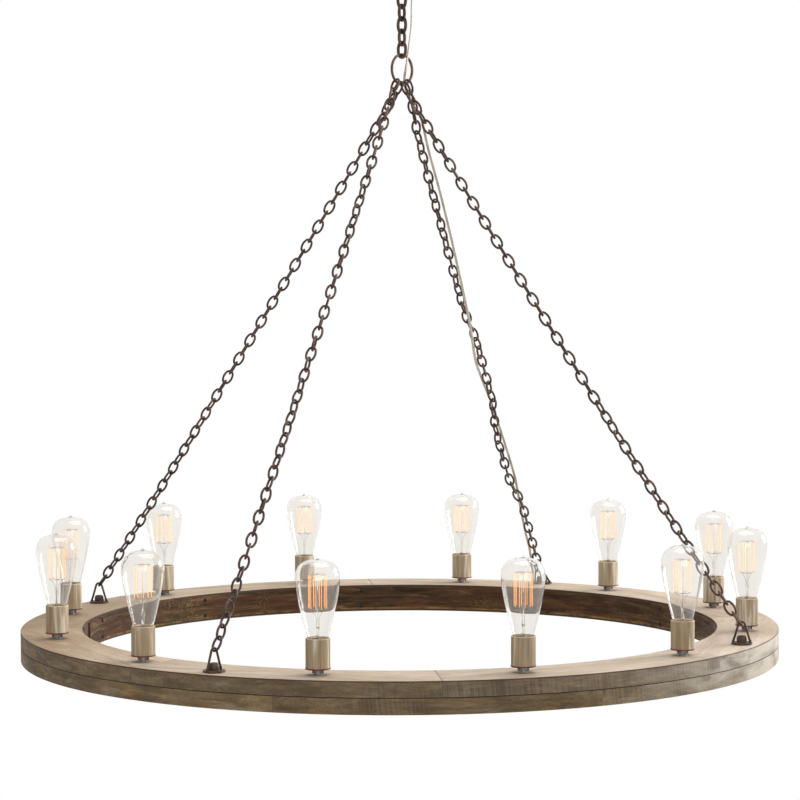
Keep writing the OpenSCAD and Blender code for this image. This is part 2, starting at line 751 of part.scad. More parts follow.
// The glass stem, its rod and the cage of filament, in one piece
module filament_mount(i) color("orange") at_lamp(i, cap_top) {
    rotate_extrude() polygon([
        [0, -5.5], [10.2, -5.5], [6, 2], [3.4, 12], [2.6, 26], [rod_d / 2, 30],
        [rod_d / 2, cage_high + 2], [0, cage_high + 2]
    ]);
    // The filament runs up and down round the cage, turning at hooks above and below
    for (k = [0:strands - 1]) {
        here = polar(cage_r, 360 / strands * k);
        next = polar(cage_r, 360 / strands * (k + 1));
        over = hook_d / 2 * unit(next - here);
        side = k % 2 == 0 ? 1 : -1;
        turn = [0, 0, side > 0 ? cage_high : cage_low];
        wire_between(here + [0, 0, cage_low], here + [0, 0, cage_high], strand_d);
        wire_between(here + turn - over, next + turn + over, hook_d);
        wire_between(turn + [0, 0, side], (here + next) / 2 + turn, arm_d);
    }
}

module bulb_glass(i) color("white", 0.3) at_lamp(i, cap_top) {
    outer = smooth(glass_keys, 3);
    crown = outer[len(outer) - 1];
    inner = moved_in(outer, glass_t);
    nub = [[nub_r, crown[1]], [nub_r - 0.3, crown[1] + 0.6 * nub_h], [nub_r / 2, crown[1] + nub_h],
        [0, crown[1] + nub_h]];
    rotate_extrude() polygon(concat(
        outer, nub, [[0, crown[1] - glass_t]],
        [for (k = [len(inner) - 1:-1:0]) inner[k]]
    ));
}

ceiling_bracket();
canopy();
canopy_loop();
upper_link();
top_chain();
hanging_ring();
chain_rear_right();
chain_rear_left();
chain_front_left();
chain_front_right();
hanger_plates();
hanger_bails();
hanger_bolts();
hanger_nuts();
rim_upper();
rim_lower();
inner_band();
band_screws();
socket_nipples();
fibre_discs();
socket_sleeves();
lamp_sockets();
ring_wiring();
supply_cord();
for (i = [0:lamps - 1]) {
    bulb_contact(i);
    union() {
        bulb_cap(i);
        filament_mount(i);
    }
    bulb_glass(i);
}
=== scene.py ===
"""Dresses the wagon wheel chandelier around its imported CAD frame."""

import math
import bmesh  # noqa: E402
import bpy  # noqa: E402
import numpy as np  # noqa: E402
from mathutils import Matrix, Vector, noise  # noqa: E402


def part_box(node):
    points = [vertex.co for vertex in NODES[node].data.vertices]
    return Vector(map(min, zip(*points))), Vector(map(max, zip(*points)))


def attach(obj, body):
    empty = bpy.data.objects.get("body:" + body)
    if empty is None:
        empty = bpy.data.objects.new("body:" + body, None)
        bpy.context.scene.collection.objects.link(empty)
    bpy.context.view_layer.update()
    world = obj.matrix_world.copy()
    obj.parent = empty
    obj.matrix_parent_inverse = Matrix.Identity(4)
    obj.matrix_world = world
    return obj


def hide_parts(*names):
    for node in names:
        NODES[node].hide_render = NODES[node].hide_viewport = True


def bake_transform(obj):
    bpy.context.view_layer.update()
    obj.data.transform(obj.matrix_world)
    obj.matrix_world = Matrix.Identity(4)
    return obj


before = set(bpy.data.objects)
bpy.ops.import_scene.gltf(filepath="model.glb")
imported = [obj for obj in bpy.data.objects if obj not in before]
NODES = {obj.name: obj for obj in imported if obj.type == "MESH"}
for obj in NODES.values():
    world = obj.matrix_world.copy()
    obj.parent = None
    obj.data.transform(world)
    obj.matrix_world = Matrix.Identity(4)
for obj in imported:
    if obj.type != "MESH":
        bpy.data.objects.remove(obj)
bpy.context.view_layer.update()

bl_info = {
    "name": "Wagon Wheel Chandelier",
    "version": (1, 0, 0),
    "blender": (4, 5, 0),
    "location": "View3D > Sidebar > Chandelier",
    "description": "Wooden wheel chandelier with chains, candle sleeves and filament bulbs",
    "category": "Object",
}

MM = 0.001
LAMPS = 12
HANGERS = 4
FELLOES = 8
FELLOE_SPAN = 360 / FELLOES

# ---------------------------------------------------------------- places

# Angles round the wheel are in degrees, from the right and seen from above
LAMP_A = 18.3
HANGER_A = 63.3
CORD_HOLE_A = 64.2
BAND_OPENING_A = 179.9

RIM_LOW, RIM_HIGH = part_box("rim_lower")
RIM_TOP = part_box("rim_upper")[1].z
RIM_BOTTOM = RIM_LOW.z
RIM_MID = RIM_HIGH.z
WHEEL_R = (RIM_HIGH.x - RIM_LOW.x) / 2
WHEEL = Vector(((RIM_LOW.x + RIM_HIGH.x) / 2, (RIM_LOW.y + RIM_HIGH.y) / 2, RIM_TOP))
BAND_LOW, BAND_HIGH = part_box("inner_band")
BAND_PLAY = 0.1 * MM
RIM_W = WHEEL_R - (BAND_HIGH.y - BAND_LOW.y) / 2 - BAND_PLAY
LAMP_R = WHEEL_R - 49 * MM
HANGER_R = WHEEL_R - 26.6 * MM
SLEEVE_FOOT = RIM_TOP + 10.4 * MM
SLEEVE_TOP = SLEEVE_FOOT + 42 * MM
SLEEVE_BORE_R = 15.9 * MM
CAP_TOP = SLEEVE_TOP - 2 * MM


def polar(r, degrees, z=0.0):
    a = math.radians(degrees)
    return Vector((r * math.cos(a), r * math.sin(a), z))


def on_wheel(r, degrees, z):
    """A place at a radius and an angle round the wheel's centre line, at height z."""
    return Vector((WHEEL.x, WHEEL.y, z)) + polar(r, degrees)


def lamp_place(i, z):
    return on_wheel(LAMP_R, LAMP_A + 360 / LAMPS * i, z)


def hanger_place(j, z):
    return on_wheel(HANGER_R, HANGER_A + 360 / HANGERS * j, z)


# ---------------------------------------------------------------- meshes


class Shape:
    """Vertices and faces, gathered before they become one mesh."""

    def __init__(self):
        self.verts, self.faces = [], []

    def add(self, verts, faces, matrix=None):
        start = len(self.verts)
        if matrix is not None:
            verts = [matrix @ Vector(v) for v in verts]
        self.verts += [tuple(v) for v in verts]
        self.faces += [tuple(start + i for i in f) for f in faces]

    def piece(self, name, body=None, material=None, sharp=None):
        mesh = bpy.data.meshes.new(name)
        mesh.from_pydata(self.verts, [], self.faces)
        mesh.polygons.foreach_set("use_smooth", [True] * len(self.faces))
        if material is not None:
            mesh.materials.append(material)
        mesh.validate()
        if sharp is not None:
            mesh.set_sharp_from_angle(angle=math.radians(sharp))
        piece = bpy.data.objects.new(name, mesh)
        bpy.context.scene.collection.objects.link(piece)
        if body is not None:
            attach(piece, body)
        return piece


def points_of(mesh):
    found = np.empty(len(mesh.vertices) * 3, np.float32)
    mesh.vertices.foreach_get("co", found)
    return found.reshape(-1, 3)


def mark(mesh, name, values):
    """Keeps a vector with each point of a mesh, for its finish to read."""
    attribute = mesh.attributes.new(name, "FLOAT_VECTOR", "POINT")
    attribute.data.foreach_set("vector", np.asarray(values, np.float32).ravel())


def round_wheel(points, first):
    """Angle in degrees from first, radius and height of points, round the wheel's centre line."""
    x, y = points[:, 0] - WHEEL.x, points[:, 1] - WHEEL.y
    return (np.degrees(np.arctan2(y, x)) - first) % 360, np.hypot(x, y), points[:, 2]


def cut(piece, cutters):
    """Takes the cutters' forms out of a piece."""
    tool = cutters.piece("cutter")
    modifier = piece.modifiers.new("cut", "BOOLEAN")
    modifier.object, modifier.solver = tool, "EXACT"
    ready = piece.evaluated_get(bpy.context.evaluated_depsgraph_get())
    mesh = bpy.data.meshes.new_from_object(ready)
    piece.modifiers.clear()
    piece.data = mesh
    bpy.data.objects.remove(tool)


def ring_faces(rows, columns, closed_rows=False):
    """Quads over a grid of points, stored row after row, each row a closed ring."""
    faces = []
    for i in range(rows if closed_rows else rows - 1):
        for k in range(columns):
            a, b = i * columns, (i + 1) % rows * columns
            m = (k + 1) % columns
            faces.append((a + k, a + m, b + m, b + k))
    return faces


def end_faces(rows, columns):
    """The two flat ends of a tube of rings."""
    return [tuple(range(columns - 1, -1, -1)), tuple(range((rows - 1) * columns, rows * columns))]


def lathe(profile, sides, closed=False):
    """A surface of revolution about Z. The profile runs so that the outside is on its right going up."""
    verts = [
        (r * math.cos(math.tau * k / sides), r * math.sin(math.tau * k / sides), z)
        for r, z in profile
        for k in range(sides)
    ]
    return verts, ring_faces(len(profile), sides, closed)


def drill(radius, low, high, sides=40):
    """A closed round bar to cut with."""
    verts, faces = lathe([(radius, low), (radius, high)], sides)
    return verts, faces + end_faces(2, sides)


def tube(points, radius, sides, closed=False, up=(0, 0, 1)):
    """A round tube along a line of points."""
    p = np.array([tuple(q) for q in points], float)
    along = np.roll(p, -1, 0) - np.roll(p, 1, 0) if closed else np.gradient(p, axis=0)
    along /= np.linalg.norm(along, axis=1)[:, None]
    current = np.array(up, float)
    if abs(along[0] @ current) > 0.95:
        current = np.array((1.0, 0, 0))
    sideways = []
    for direction in along:
        current = current - (current @ direction) * direction
        current /= np.linalg.norm(current)
        sideways.append(current)
    sideways = np.array(sideways)
    other = np.cross(along, sideways)
    turn = np.linspace(0, math.tau, sides, endpoint=False)[None, :, None]
    ring = p[:, None] + radius * np.cos(turn) * sideways[:, None] + radius * np.sin(turn) * other[:, None]
    faces = ring_faces(len(p), sides, closed)
    if not closed:
        faces += end_faces(len(p), sides)
    return ring.reshape(-1, 3).tolist(), faces


def smooth_line(keys, steps):
    """A smooth line through the keys, as part.scad draws it."""
    keys = [np.array(k, float) for k in keys]
    line = []
    for i in range(len(keys) - 1):
        a, b = keys[max(i - 1, 0)], keys[i]
        c, d = keys[i + 1], keys[min(i + 2, len(keys) - 1)]
        for s in range(steps):
            t = s / steps
            line.append(
                0.5 * (2 * b + (c - a) * t + (2 * a - 5 * b + 4 * c - d) * t * t
                + (3 * b - a - 3 * c + d) * t ** 3)
            )
    line.append(keys[-1])
    return line


# ---------------------------------------------------------------- finishes


def linear(*rgb):
    """Colour values as seen on a screen, 0 to 255, made linear."""
    seen = [c / 255 for c in rgb]
    return tuple(c / 12.92 if c <= 0.04045 else ((c + 0.055) / 1.055) ** 2.4 for c in seen)


def shade(colour):
    """A colour for a node, from one seen on a screen or from the name of a setting."""
    if isinstance(colour, str):
        return tuple(getattr(bpy.context.scene.chandelier_finish, colour))
    return linear(*colour)


def new_material(name):
    material = bpy.data.materials.new(name)
    material.use_nodes = True
    tree = material.node_tree
    shader = next(n for n in tree.nodes if n.type == "BSDF_PRINCIPLED")
    return material, tree, shader


def put(tree, value, place):
    """Links a socket to an input, or sets a plain value on it."""
    if isinstance(value, bpy.types.NodeSocket):
        tree.links.new(value, place)
    else:
        place.default_value = value


def feed(tree, shader, **values):
    """Gives a shader its values: sockets are linked, and constants stand on its own sockets."""
    for name, value in values.items():
        put(tree, value, shader.inputs[name.replace("_", " ")])


def add_node(tree, kind, links=(), **values):
    """A node with its named properties and inputs set, and links made into it."""
    node = tree.nodes.new(kind)
    for name, value in values.items():
        if hasattr(node, name):
            setattr(node, name, value)
        else:
            node.inputs[name.replace("_", " ")].default_value = value
    for key, source in links:
        tree.links.new(source, node.inputs[key])
    return node


def object_place(tree):
    """The object's own coordinates."""
    return tree.nodes.new("ShaderNodeTexCoord").outputs["Object"]


def marked(tree, name):
    """The vector that mark() kept with a mesh's points."""
    return add_node(tree, "ShaderNodeAttribute", attribute_name=name).outputs["Vector"]


def parts(tree, vector):
    """X, Y and Z of a vector."""
    return add_node(tree, "ShaderNodeSeparateXYZ", [(0, vector)]).outputs


def ramp(tree, source, *stops):
    """A colour ramp with the given (place, colour) stops."""
    node = add_node(tree, "ShaderNodeValToRGB", [("Fac", source)])
    while len(node.color_ramp.elements) < len(stops):
        node.color_ramp.elements.new(0.5)
    for element, (place, colour) in zip(node.color_ramp.elements, stops):
        element.position = place
        element.color = (*shade(colour), 1)
    return node.outputs["Color"]


def mix(tree, factor, a, b):
    """A colour mix by a mask; a and b are sockets or linear colours."""
    node = add_node(tree, "ShaderNodeMix", [(0, factor)], data_type="RGBA", blend_type="MIX")
    for key, value in ((6, a), (7, b)):
        put(tree, (*value, 1) if isinstance(value, tuple) else value, node.inputs[key])
    return node.outputs[2]


def maths(tree, operation, *values):
    node = add_node(tree, "ShaderNodeMath", operation=operation)
    for key, value in enumerate(values):
        put(tree, value, node.inputs[key])
    return node.outputs[0]


def times(tree, a, b):
    return maths(tree, "MULTIPLY", a, b)


def tint(tree, colour, mask, share, tone):
    """A colour with a share of another tone laid over it where the mask is 1."""
    return mix(tree, times(tree, mask, share), colour, shade(tone))


def spread(tree, value, low, high, to_low=0.0, to_high=1.0):
    """A value spread from one range to another, and kept inside it."""
    node = add_node(tree, "ShaderNodeMapRange", [(0, value)], clamp=True)
    for key, number in enumerate((low, high, to_low, to_high), 1):
        node.inputs[key].default_value = number
    return node.outputs[0]


def noise_value(tree, vector, stretch, detail, roughness=0.5, distortion=0.0):
    """Noise over a vector, with so many waves a metre along each of its axes."""
    at = add_node(tree, "ShaderNodeVectorMath", [(0, vector)], operation="MULTIPLY")
    at.inputs[1].default_value = stretch
    return add_node(tree, "ShaderNodeTexNoise", [("Vector", at.outputs[0])], Scale=1.0, Detail=detail,
                    Roughness=roughness, Distortion=distortion).outputs["Fac"]


def bump(tree, shader, height, strength, distance):
    node = add_node(tree, "ShaderNodeBump", [("Height", height)], Strength=strength, Distance=distance)
    tree.links.new(node.outputs["Normal"], shader.inputs["Normal"])


def new_group(name, inputs, outputs):
    """An empty shader node group with its inputs, as (name, kind, default), and its outputs, all values."""
    group = bpy.data.node_groups.new(name, "ShaderNodeTree")
    for label, kind, default in inputs:
        item = group.interface.new_socket(label, in_out="INPUT", socket_type=kind)
        if default is not None:
            item.default_value = default
    for label in outputs:
        group.interface.new_socket(label, in_out="OUTPUT", socket_type="NodeSocketFloat")
    return group, group.nodes.new("NodeGroupInput"), group.nodes.new("NodeGroupOutput")


def mottle_group():
    """Soft patches with fine specks in them, over the object's own coordinates."""
    name = "Mottle"
    if name in bpy.data.node_groups:
        return bpy.data.node_groups[name]
    inputs = [(label, "NodeSocketFloat", default)
              for label, default in (("Patch Scale", 20.0), ("Speck Scale", 400.0), ("Speck Share", 0.4))]
    group, given, out = new_group(name, inputs, ("Mask", "Specks"))
    at = object_place(group)
    found = []
    for label, detail in (("Patch Scale", 4.0), ("Speck Scale", 2.0)):
        links = [("Vector", at), ("Scale", given.outputs[label])]
        node = add_node(group, "ShaderNodeTexNoise", links, Detail=detail)
        found.append(spread(group, node.outputs["Fac"], 0.33, 0.67))
    patches, specks = found
    mixed = maths(group, "MULTIPLY_ADD", maths(group, "SUBTRACT", specks, patches),
                  given.outputs["Speck Share"], patches)
    group.links.new(mixed, out.inputs["Mask"])
    group.links.new(specks, out.inputs["Specks"])
    return group


def use_mottle(tree, patch, speck, share):
    node = add_node(tree, "ShaderNodeGroup", node_tree=mottle_group())
    for label, value in (("Patch Scale", patch), ("Speck Scale", speck), ("Speck Share", share)):
        node.inputs[label].default_value = value
    return node.outputs["Mask"], node.outputs["Specks"]


def grain_group():
    """Wood fibre along X of the given vector: streaks, pores, three kinds of patches, and saw marks."""
    group, given, out = new_group(
        "Wood Grain",
        [("Vector", "NodeSocketVector", None), ("Saw Marks", "NodeSocketFloat", 0.5)],
        ("Grain", "Pores", "Blotch", "Bleach", "Gold", "Saw", "Height"),
    )
    at = given.outputs["Vector"]
    broad = noise_value(group, at, (5.0, 70.0, 90.0), 5.0, 0.6, 0.6)
    fine = noise_value(group, at, (25.0, 900.0, 900.0), 3.0, 0.6)
    grain = maths(group, "ADD", times(group, broad, 0.62), times(group, fine, 0.38))
    pores = spread(group, noise_value(group, at, (60.0, 1400.0, 1400.0), 2.0), 0.58, 0.72)
    slant = add_node(group, "ShaderNodeVectorRotate", [("Vector", at)], rotation_type="Y_AXIS", Angle=0.12)
    lines = spread(group, noise_value(group, slant.outputs[0], (330.0, 6.0, 5.0), 1.0), 0.38, 0.62)
    saw = times(group, lines, spread(group, noise_value(group, at, (3.0, 9.0, 9.0), 2.0), 0.42, 0.62))
    height = maths(group, "ADD", times(group, grain, 0.8), times(group, saw, given.outputs["Saw Marks"]))
    for label, value in (
        ("Grain", spread(group, grain, 0.34, 0.66)),
        ("Pores", pores),
        ("Blotch", spread(group, noise_value(group, at, (9.0, 22.0, 30.0), 4.0, 0.6, 0.4), 0.42, 0.62)),
        ("Bleach", spread(group, noise_value(group, at, (13.0, 30.0, 60.0), 4.0, 0.65, 0.6), 0.55, 0.72)),
        ("Gold", spread(group, noise_value(group, at, (18.0, 40.0, 90.0), 3.0, 0.6, 0.4), 0.56, 0.7)),
        ("Saw", saw),
        ("Height", maths(group, "SUBTRACT", height, times(group, pores, 0.25))),
    ):
        group.links.new(value, out.inputs[label])
    return group


def wood_material():
    """Weathered wood: grey brown sides with marks of the saw and a whitened stretch that is partly painted
    highlight, a paler top that is partly painted sheen, stained edges, and painted shade in the seam and on
    the face behind the band.
    """
    material, tree, shader = new_material("Weathered Wood")
    grain = add_node(tree, "ShaderNodeGroup", [("Vector", marked(tree, "grain_at"))],
                     node_tree=grain_group(), Saw_Marks=0.6).outputs
    value, warmth, inside = parts(tree, marked(tree, "felloe_tone"))
    sawn, stained, bleached_and_lit = parts(tree, marked(tree, "felloe_wear"))
    place = tree.nodes.new("ShaderNodeTexCoord").outputs
    facing, height = parts(tree, place["Normal"])[2], parts(tree, place["Object"])[2]

    side = ramp(tree, grain["Grain"], (0.0, "wood_dark"), (0.5, "wood_middle"), (1.0, "wood_light"))
    for mask, share, tone in (
        (grain["Blotch"], 0.7, (78, 64, 47)),
        (grain["Gold"], 0.4, (150, 122, 84)),
        (grain["Bleach"], 0.5, (152, 144, 128)),
        (times(tree, grain["Saw"], sawn), 0.35, (160, 147, 126)),
    ):
        side = tint(tree, side, mask, share, tone)
    # The whitening of the outer face from 300 to 350 degrees is partly bleached wood and partly a painted
    # highlight where the key light grazes the rim
    white = times(tree, bleached_and_lit, spread(tree, grain["Blotch"], 0, 1, 0.75, 0.25))
    side = mix(tree, white, side, shade((196, 186, 170)))

    # The top's paler colours are partly paler wood and partly painted sheen, standing in for the light from
    # above and its grazing reflection
    top = ramp(tree, grain["Grain"], (0.0, (156, 137, 118)), (0.5, (184, 167, 148)), (1.0, (200, 185, 168)))
    top = tint(tree, top, grain["Blotch"], 0.45, (160, 140, 117))
    stain = times(tree, stained, spread(tree, grain["Bleach"], 0, 1, 0.8, 0.1))
    top = mix(tree, stain, top, shade((148, 127, 104)))

    # Painted sheen: faces that point up take the paler top colours
    colour = mix(tree, spread(tree, facing, 0.55, 0.95), side, top)
    toned = add_node(tree, "ShaderNodeHueSaturation", [
        ("Color", colour), ("Value", spread(tree, value, 0, 1, 0.8, 1.2)),
        ("Saturation", spread(tree, warmth, 0, 1, 0.85, 1.15))])
    colour = tint(tree, toned.outputs[0], grain["Pores"], 0.4, (58, 46, 36))
    # The side's top edge is red brown, the seam between the layers is painted nearly black as painted shade,
    # and the face inside the band is dark brown, partly stain and partly painted shade
    edge = times(tree, spread(tree, height, RIM_TOP - 2.6 * MM, RIM_TOP - 1.4 * MM),
                 spread(tree, facing, 0.99, 0.9))
    colour = tint(tree, colour, edge, 0.85, (70, 42, 29))
    # Painted shade: the seam between the two layers is painted nearly black, standing in for the shade in its
    # groove
    off = maths(tree, "ABSOLUTE", maths(tree, "SUBTRACT", height, RIM_MID))
    colour = mix(tree, spread(tree, off, 0.3 * MM, 0.9 * MM, 1.0, 0.0), colour, shade((30, 22, 16)))
    # The face inside the band is painted dark brown: partly stain, partly painted shade behind the band
    colour = tint(tree, colour, inside, 0.85, (62, 46, 34))
    feed(tree, shader, Base_Color=colour, Roughness=spread(tree, grain["Grain"], 0, 1, 0.78, 0.6),
         Specular_IOR_Level=0.25)
    bump(tree, shader, grain["Height"], 0.5, 0.0008)
    return material


def iron_material(name, dark, middle, light, metallic, rough, patch, pitting=0.25):
    """Painted or rusted iron, with patches, specks and a fine pitted surface."""
    material, tree, shader = new_material(name)
    mask, specks = use_mottle(tree, patch, patch * 14, 0.35)
    feed(tree, shader, Base_Color=ramp(tree, mask, (0.1, dark), (0.5, middle), (0.92, light)),
         Roughness=spread(tree, mask, 0, 1, *rough), Metallic=metallic)
    bump(tree, shader, specks, pitting, 0.0002)
    return material


def plain_material(name, dark, light, metallic, rough):
    """A small part's finish, with faint patches and specks."""
    material, tree, shader = new_material(name)
    mask, specks = use_mottle(tree, 90.0, 900.0, 0.3)
    feed(tree, shader, Base_Color=mix(tree, mask, shade(dark), shade(light)),
         Roughness=spread(tree, mask, 0, 1, rough * 0.85, rough * 1.2), Metallic=metallic)
    bump(tree, shader, specks, 0.12, 0.0001)
    return material


def sleeve_material():
    """Candle sleeve: greige, with soft whitish and tan streaks down it and a lighter lip."""
    material, tree, shader = new_material("Candle Sleeve")
    at = object_place(tree)
    broad = spread(tree, noise_value(tree, at, (130.0, 130.0, 9.0), 2.0, 0.5, 0.5), 0.36, 0.64)
    fine = noise_value(tree, at, (900.0, 900.0, 30.0), 3.0, 0.6)
    mask = spread(tree, maths(tree, "MULTIPLY_ADD", fine, 0.25, times(tree, broad, 0.7)), 0.08, 0.82)
    colour = ramp(tree, mask, (0.0, (142, 121, 93)), (0.3, (162, 143, 116)), (0.7, (172, 154, 128)),
                  (1.0, (204, 194, 174)))
    tan = spread(tree, noise_value(tree, at, (90.0, 90.0, 24.0), 2.0), 0.6, 0.72)
    colour = tint(tree, colour, tan, 0.45, (178, 138, 90))
    lip = spread(tree, parts(tree, at)[2], SLEEVE_TOP - 1.6 * MM, SLEEVE_TOP - 0.9 * MM)
    colour = tint(tree, colour, lip, 0.6, (214, 200, 172))
    feed(tree, shader, Base_Color=colour, Roughness=spread(tree, mask, 0, 1, 0.8, 0.66),
         Specular_IOR_Level=0.25)
    bump(tree, shader, mask, 0.12, 0.0003)
    return material


def glass_material(name, middle, edge, ior):
    """Blown glass with very soft waves, a little greyer where it is seen edge on."""
    material, tree, shader = new_material(name)
    waves = noise_value(tree, object_place(tree), (30.0, 30.0, 90.0), 2.0)
    facing = add_node(tree, "ShaderNodeLayerWeight", Blend=0.5).outputs["Facing"]
    feed(tree, shader, Base_Color=mix(tree, spread(tree, facing, 0.8, 1.0), middle, edge),
         Roughness=spread(tree, waves, 0.2, 0.8, 0.0, 0.015),
         Transmission_Weight=0.95, IOR=ior, Metallic=0.0, Coat_Weight=0.3)
    bump(tree, shader, waves, 0.1, 0.0006)
    return material


def glow_material():
    """Hot filament, a little yellower in places."""
    material, tree, shader = new_material("Hot Filament")
    wave = noise_value(tree, object_place(tree), (60.0, 60.0, 30.0), 2.0)
    colour = mix(tree, wave, shade("glow"), shade((255, 186, 72)))
    feed(tree, shader, Base_Color=colour, Emission_Color=colour, Emission_Strength=1.5, Roughness=0.6)
    return material


def band_material():
    """Rusty band: brown streaks along it, redder patches, yellow specks, and a painted highlight as a yellow
    strip along its lower edge.
    """
    material, tree, shader = new_material("Rusted Band")
    at = marked(tree, "band_at")
    streaks = spread(tree, noise_value(tree, at, (14.0, 1.0, 150.0), 5.0, 0.65, 0.8), 0.33, 0.68)
    patches = spread(tree, noise_value(tree, at, (10.0, 1.0, 34.0), 3.0, 0.6), 0.42, 0.62)
    specks = spread(tree, noise_value(tree, at, (420.0, 1.0, 520.0), 3.0, 0.7), 0.54, 0.66)
    region = spread(tree, noise_value(tree, at, (12.0, 1.0, 26.0), 2.0), 0.46, 0.66)
    # Painted highlight: a yellow strip just above the band's lower edge, broken up by noise, stands in for
    # the edge catching the light
    worn = times(tree, spread(tree, parts(tree, at)[2], BAND_LOW.z + 4.2 * MM, BAND_LOW.z + 1.2 * MM),
                 spread(tree, noise_value(tree, at, (30.0, 1.0, 60.0), 3.0, 0.6), 0.38, 0.6))
    colour = ramp(tree, streaks, (0.0, (36, 25, 14)), (0.45, (60, 42, 25)), (0.8, (84, 59, 35)),
                  (1.0, (110, 81, 50)))
    colour = tint(tree, colour, patches, 0.4, (88, 52, 32))
    colour = tint(tree, colour, times(tree, specks, region), 0.8, (156, 130, 70))
    # The yellow strip along the lower edge is a painted highlight
    colour = tint(tree, colour, worn, 0.75, (142, 112, 60))
    feed(tree, shader, Base_Color=colour, Roughness=spread(tree, streaks, 0, 1, 0.8, 0.58),
         Specular_IOR_Level=0.15)
    bump(tree, shader, streaks, 0.5, 0.0006)
    return material


def floor_material():
    material, tree, shader = new_material("Pale Floor")
    speck = add_node(tree, "ShaderNodeTexNoise", [("Vector", object_place(tree))], Scale=6.0, Detail=3.0,
                     Roughness=0.55, Distortion=0.0).outputs["Fac"]
    feed(tree, shader, Base_Color=mix(tree, speck, (0.9, 0.9, 0.9), (0.94, 0.94, 0.94)), Roughness=0.8)
    return material


# Each finish: its maker, its name, and its values. Irons: dark, middle and light colour, metallic,
# roughness from and to, patches a metre. Plain ones: dark and light colour, metallic, roughness.
# Glass: its colour, its colour edge on, refraction. A name in place of a colour is a setting's.
FINISHES = {
    "wood": (wood_material,),
    "band": (band_material,),
    "sleeve": (sleeve_material,),
    "glow": (glow_material,),
    "glass": (glass_material, "Clear Glass", (0.94, 0.925, 0.9), (0.64, 0.61, 0.57), 1.18),
    "stem": (glass_material, "Stem Glass", (0.9, 0.89, 0.87), (0.62, 0.6, 0.56), 1.12),
    "chain": (iron_material, "Chain Iron", (34, 22, 16), (62, 40, 30), "chain", 0.3, (0.42, 0.62), 90.0),
    "ring": (iron_material, "Ring Iron", (38, 24, 16), (70, 46, 33), (116, 80, 58), 0.35, (0.38, 0.55), 90.0),
    "hanger": (iron_material, "Hanger Iron", (32, 21, 15), (58, 39, 28), (96, 68, 50), 0.25, (0.42, 0.62),
               110.0),
    "canopy": (iron_material, "Aged Bronze", (40, 27, 20), (66, 45, 34), (92, 64, 48), 0.5, (0.35, 0.5),
               30.0, 0.1),
    "zinc": (plain_material, "Zinc Plate", (92, 92, 90), (150, 150, 147), 0.85, 0.42),
    "screw": (plain_material, "Black Screw", (8, 7, 6), (22, 17, 13), 0.0, 0.9),
    "nut": (plain_material, "Dull Steel", (60, 52, 44), (104, 94, 84), 0.7, 0.45),
    "liner": (plain_material, "Gilt Liner", (214, 158, 66), (244, 198, 112), 0.0, 0.6),
    "fibre": (plain_material, "Red Fibre", (74, 26, 14), (124, 48, 24), 0.0, 0.55),
    "phenolic": (plain_material, "Phenolic", (26, 23, 21), (44, 38, 34), 0.0, 0.4),
    "brass": (plain_material, "Brass", (196, 150, 72), (226, 184, 104), 1.0, 0.24),
    "solder": (plain_material, "Solder", (120, 120, 118), (176, 176, 172), 0.8, 0.36),
    "vitrite": (plain_material, "Dark Glass", (16, 14, 18), (34, 30, 38), 0.0, 0.15),
    "hook": (plain_material, "Hook Wire", (70, 62, 56), (110, 100, 92), 0.6, 0.4),
    "ivory": (plain_material, "Ivory Insulation", (168, 158, 138), "cord", 0.0, 0.4),
}
MADE = {}


def finish(name):
    """A finish by its short name, made on first use."""
    if name not in MADE:
        maker, *values = FINISHES[name]
        MADE[name] = maker(*values)
    return MADE[name]


def dress(node, look):
    """Gives a carried CAD node its finish, with smooth rounds and sharp edges."""
    mesh = NODES[node].data
    mesh.materials.clear()
    mesh.materials.append(finish(look))
    mesh.polygons.foreach_set("use_smooth", [True] * len(mesh.polygons))
    mesh.polygons.foreach_set("material_index", [0] * len(mesh.polygons))
    mesh.update()
    mesh.set_sharp_from_angle(angle=math.radians(32))
    return mesh


# ---------------------------------------------------------------- settings


class ChandelierFinish(bpy.types.PropertyGroup):
    """Colours of the chandelier's wood, iron, cord and light."""

    wood_dark: bpy.props.FloatVectorProperty(
        name="Wood, dark", description="Darkest colour of the rim's outer face", subtype="COLOR",
        size=3, min=0, max=1, default=linear(88, 72, 54))
    wood_middle: bpy.props.FloatVectorProperty(
        name="Wood, middle", description="Middle colour of the rim's outer face", subtype="COLOR",
        size=3, min=0, max=1, default=linear(113, 96, 75))
    wood_light: bpy.props.FloatVectorProperty(
        name="Wood, light", description="Lightest colour of the rim's outer face", subtype="COLOR",
        size=3, min=0, max=1, default=linear(143, 124, 98))
    chain: bpy.props.FloatVectorProperty(
        name="Chain, worn", description="Colour of the chain where its paint is rubbed", subtype="COLOR",
        size=3, min=0, max=1, default=linear(104, 70, 52))
    cord: bpy.props.FloatVectorProperty(
        name="Cord", description="Colour of the supply cord", subtype="COLOR",
        size=3, min=0, max=1, default=linear(206, 198, 180))
    glow: bpy.props.FloatVectorProperty(
        name="Glow", description="Colour of the lit filament", subtype="COLOR",
        size=3, min=0, max=1, default=linear(255, 142, 34))


